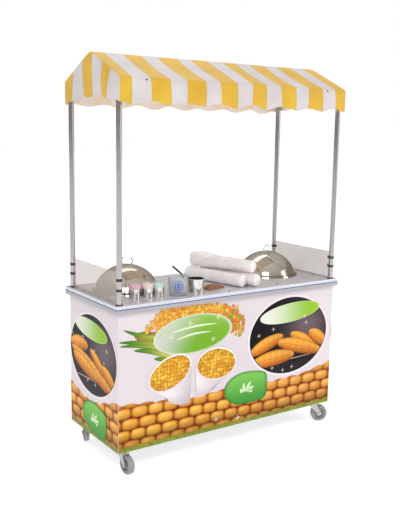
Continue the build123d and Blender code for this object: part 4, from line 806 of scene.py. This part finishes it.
def green_oval(art):
    """The large oval, grey-green at the left and leaf green at the right, with two swooshes."""

    def lawn(t, z, r, a):
        share = step(-0.50, -0.22, t + 0.6 * (0.70 - z))
        ink = blend(share, tone(200, 206, 196), tone(116, 172, 42))
        ink = blend(step(0.0, 1.0, (z - 0.66) / 0.14) * 0.35, ink, tone(178, 208, 120))
        return blend(step(0.925, 0.94, r), ink, tone(206, 216, 190))

    art.oval(OVAL_CENTRE, OVAL_HALF, 1.5, lawn, 4.5, 30, 96)
    for rise, reach in ((0.028, 0.15), (-0.012, 0.11)):
        low = (OVAL_CENTRE[0] - reach, OVAL_CENTRE[1] + rise - 0.006)
        high = (OVAL_CENTRE[0] + reach, OVAL_CENTRE[1] + rise + 0.010)
        art.blade(low, high, 0.0055, 0.010, plain(222, 232, 206), 5)


def full_cup(art, rim, half, turn, base, base_half, base_turn, sweep, layer):
    """Body ruled from an arc of the rim, swept between two angles, to the near half of the
    base; then the lip and the heap of corn."""
    u, v = np.meshgrid(even(0, 1, 40), even(0, 1, 14), indexing="ij")
    a = radians(sweep[0]) + radians(sweep[1] - sweep[0]) * u
    k, m = cos(radians(turn)), sin(radians(turn))
    b = pi + pi * u
    p, q = cos(radians(base_turn)), sin(radians(base_turn))
    top_t = rim[0] + half[0] * np.cos(a) * k - half[1] * np.sin(a) * m
    top_z = rim[1] + half[0] * np.cos(a) * m + half[1] * np.sin(a) * k
    low_t = base[0] + base_half[0] * np.cos(b) * p - base_half[1] * np.sin(b) * q
    low_z = base[1] + base_half[0] * np.cos(b) * q + base_half[1] * np.sin(b) * p
    t, z = top_t * v + low_t * (1 - v), top_z * v + low_z * (1 - v)
    shade = blend(step(0.1, 1.0, u), tone(236, 229, 233), tone(202, 193, 202))
    art.add(t, z, blend(step(0.6, 0, v) * 0.3, shade, tone(150, 130, 140)), layer)

    def lip(t, z, r, a):
        return blend(0.5 + 0.5 * np.sin(a), tone(226, 214, 220), tone(252, 248, 248))

    def heap(t, z, r, a):
        corn = loose_corn(t, z, 0.021, tone(206, 140, 34), tone(240, 190, 70), tone(140, 84, 16))
        return corn * (1.08 - 0.22 * r**3)[..., None]

    def ragged(a):
        return 1 + 0.02 * np.sin(17 * a) * np.sin(5 * a)

    art.oval(rim, half, turn, lip, layer + 0.5, 3, 72)
    filled = (half[0] * 0.93, half[1] * 0.91)
    art.oval(rim, filled, turn, heap, layer + 1, 30, 96, ragged)


def front_artwork(finish):
    """Corn band, husks, a garland of vegetables round a green oval, two full cups, a dark dish
    of cobs and a badge."""
    art = Artwork("front")
    corn_band(art, -0.7285, 0.7285, *FRONT_CREST)
    art.blade((-0.40, 0.66), (-0.64, 0.742), 0.040, 0, husk_paint, 2)
    for foot, tip, width, bend, layer in HUSK_LEAVES:
        art.blade(foot, tip, width, bend, leaf_paint, layer)
    garland(art)
    green_oval(art)
    for place in OVAL_STARS:
        art.star(place, 0.017, 5.3)
    left_cup = ((-0.422, 0.509), (0.140, 0.088), 22, (-0.366, 0.350), (0.072, 0.024), -14)
    right_cup = ((-0.125, 0.512), (0.136, 0.092), -5, (-0.203, 0.372), (0.056, 0.022), 6)
    full_cup(art, *left_cup, (212, 352), 6)
    full_cup(art, *right_cup, (190, 308), 8)
    cob_dish(art, (0.394, 0.598), (0.292, 0.226), FRONT_COBS)
    green_label(art, (0.397, 0.734), (0.226, 0.056), 4, 9)
    for place in DISH_STARS:
        art.star(place, 0.013, 9.5)
    leaf_badge(art, (0.083, 0.338), (0.152, 0.092), 0, 9)
    for place, size in (((-0.51, 0.352), 0.016), ((0.03, 0.172), 0.018), ((-0.12, 0.190), 0.016)):
        art.star(place, size, 2)
    art.piece(finish)


def end_artwork(face, finish):
    """The ends carry the dish of cobs over the corn band, and a badge."""
    art = Artwork(face)
    reach = (-0.2788, 0.2758) if face == "left" else (-0.2758, 0.2788)
    corn_band(art, *reach, *END_CREST)
    cob_dish(art, (-0.004, 0.580), (0.268, 0.216), END_COBS)
    green_label(art, (-0.022, 0.716), (0.190, 0.052), -4, 9)
    for place in END_STARS:
        art.star(place, 0.012, 9.5)
    leaf_badge(art, (0.015, 0.236), (0.140, 0.086), -4, 9)
    art.piece(finish)


def ink_finish():
    """Ink under a clear coat, with a faint grain in its gloss."""
    made = Finish("panel_ink", 0.4, Specular_IOR_Level=0.1)
    ink = made.tree.nodes.new("ShaderNodeAttribute")
    ink.attribute_name = "ink"
    grain = made.noise(made.place(), 600)
    flecks = made.ramp(grain, [(0.35, (0.4, 0.4, 0.4)), (0.65, (1, 1, 1))])
    made.colour(made.mix(0.06, ink.outputs["Color"], flecks, "MULTIPLY"))
    made.rough(grain, 0.28, 0.42)
    made.bump(grain, 0.04, 0.0003)
    return made.material


panel_ink = ink_finish()
front_artwork(panel_ink)
end_artwork("left", panel_ink)
end_artwork("right", panel_ink)


# ---------------------------------------------------------------- bagged rolls of cups
def film_finish():
    """Milky film over white paper, creased, with soft gloss."""
    made = Finish("milky_film", 0.4, Coat_Weight=0.25, Coat_Roughness=0.25, Subsurface_Weight=0.1)
    where = made.place()
    cloud = made.noise(where, 14)
    made.colour(made.ramp(cloud, [(0.3, (0.84, 0.79, 0.77)), (0.7, (0.93, 0.90, 0.89))]))
    made.rough(cloud, 0.3, 0.55)
    made.bump(made.noise(where, 24, 4, 0.5), 0.4, 0.003)
    return made.material


ROLL_RADIUS, ROLL_LENGTH = 0.037, 0.430
CUP_PITCH = 0.0135  # of the ripple the cups' rims make in the film
# name, node, body, front end, direction in degrees, height, phase of its creases, billow
ROLLS = (
    ("roll_near", "cup_sleeve_near", "cup_sleeves_low", (0.098, -0.222), 105, 0.9373, 0.4, 0.0),
    ("roll_far", "cup_sleeve_far", "cup_sleeves_low", (0.1811, -0.2463), 105, 0.9373, 2.1, 0.0),
    ("roll_top", "cup_sleeve_top", "cup_sleeve_top", (0.172, -0.220), 112, 1.0116, 3.7, 0.014),
)


def make_roll(name, node, body, start, turn, middle, phase, billow, finish):
    """A roll of stacked cups in film: a tube whose radius is the roll's less creases of mixed
    sines, rounded off at both ends by a superellipse, and slack towards its far end, where the
    bag billows upwards."""
    u, a = np.meshgrid(even(0, 1, 90), even(0, 2 * pi, 65), indexing="ij")
    reach = np.minimum(u, 1 - u) * ROLL_LENGTH
    nose = np.clip(reach / 0.016, 0, 1)
    close = (1 - (1 - nose) ** 2.6) ** (1 / 2.6)
    rims = 0.0007 * np.cos(2 * pi * u * ROLL_LENGTH / CUP_PITCH)
    crease = 0.0011 * np.sin(5 * a + 21 * u + phase) * np.sin(9 * u + 2 * a)
    wrinkle = 0.0009 * np.sin(11 * a - 34 * u + 2 * phase)
    slack = 0.0022 * step(0.55, 0.95, u) * np.cos(3 * a + 7 * u + phase)
    puff = billow * step(0.3, 0.85, u) * (0.55 + 0.45 * np.sin(a))
    puff = puff * (1 + 0.25 * np.sin(4 * a + 17 * u))
    r = (ROLL_RADIUS - 0.0022 + rims + crease + wrinkle + slack + puff) * close
    k, m = cos(radians(turn)), sin(radians(turn))
    along = ROLL_LENGTH * (0.004 + 0.992 * u) + 0.004 * (1 - close) * np.sign(0.5 - u)
    side, up = r * np.cos(a), r * np.sin(a)
    x = start[0] + along * k - side * m
    y = start[1] + along * m + side * k
    tube = np.stack([x, y, middle + up], -1)
    on_cart(lay_mesh(name, [tube], weld=True), body, "sleeve_paper", finish, node)


film = film_finish()
for roll in ROLLS:
    make_roll(*roll, film)


# ---------------------------------------------------------------- print on the clear cup
CUP_X, CUP_Y, CUP_FOOT = -0.322, -0.190, 0.900
CUP_FOOT_RADIUS, CUP_FLARE = 0.0485, 0.07  # outside of the wall, a hair proud, and its slope
PRINT_HEIGHT, PRINT_FACING = 0.953, 237  # of the disc's centre; degrees about the cup
DISC = 0.017
DOT_RINGS = ((0.0215, 0.0016), (0.0265, 0.0020), (0.0320, 0.0024))  # radius, size of a dot
DOTS = 24  # in a ring


def cup_print(finish):
    """A blue disc and three rings of dots wrapped on the cone of the cup's wall.  Each is a
    polar grid about its centre, whose sideways reach becomes an angle about the cup."""
    grids, inks = [], []

    def spot(side, rise, size, ink, rings, spokes):
        r, s = np.meshgrid(even(0, size, rings), even(0, 2 * pi, spokes + 1), indexing="ij")
        z = PRINT_HEIGHT + rise + r * np.sin(s)
        radius = CUP_FOOT_RADIUS + (z - CUP_FOOT) * CUP_FLARE
        a = radians(PRINT_FACING) + (side + r * np.cos(s)) / radius
        grids.append(np.stack([CUP_X + radius * np.cos(a), CUP_Y + radius * np.sin(a), z], -1))
        inks.append(ink(r / size))

    def ringed(share):
        pale = step(0.55, 0.45, np.abs(share - 0.55) * 3)
        return blend(pale, tone(30, 62, 168), tone(188, 202, 236))

    spot(0, 0, DISC, ringed, 12, 40)
    for ring, (reach, size) in enumerate(DOT_RINGS):
        for spoke in even(0, 2 * pi, DOTS + 1)[:-1] + 0.13 * ring:
            spot(reach * cos(spoke), reach * sin(spoke), size, plain(58, 92, 184), 2, 8)
    on_cart(lay_mesh("cup_print", grids, ink=inks), "clear_cup", "clear_plastic", finish)


cup_print(panel_ink)


# ---------------------------------------------------------------- floor
FLOOR_RADIUS = 60.0
FLOOR_GLOW = 0.50


def make_floor():
    """A wide pale disc on the ground, with a little light of its own so that it fades to white."""
    r, a = np.meshgrid(even(0, FLOOR_RADIUS, 8), even(0, 2 * pi, 65), indexing="ij")
    disc = np.stack([r * np.cos(a), r * np.sin(a), np.zeros_like(r)], -1)
    floor = lay_mesh("studio_floor", [disc], weld=True)
    made = Finish("pale_floor", 0.9)
    made.shader.inputs["Base Color"].default_value = (0.92, 0.92, 0.92, 1)
    made.shader.inputs["Emission Color"].default_value = (1, 1, 1, 1)
    made.shader.inputs["Emission Strength"].default_value = FLOOR_GLOW
    floor.data.materials.append(made.material)


make_floor()
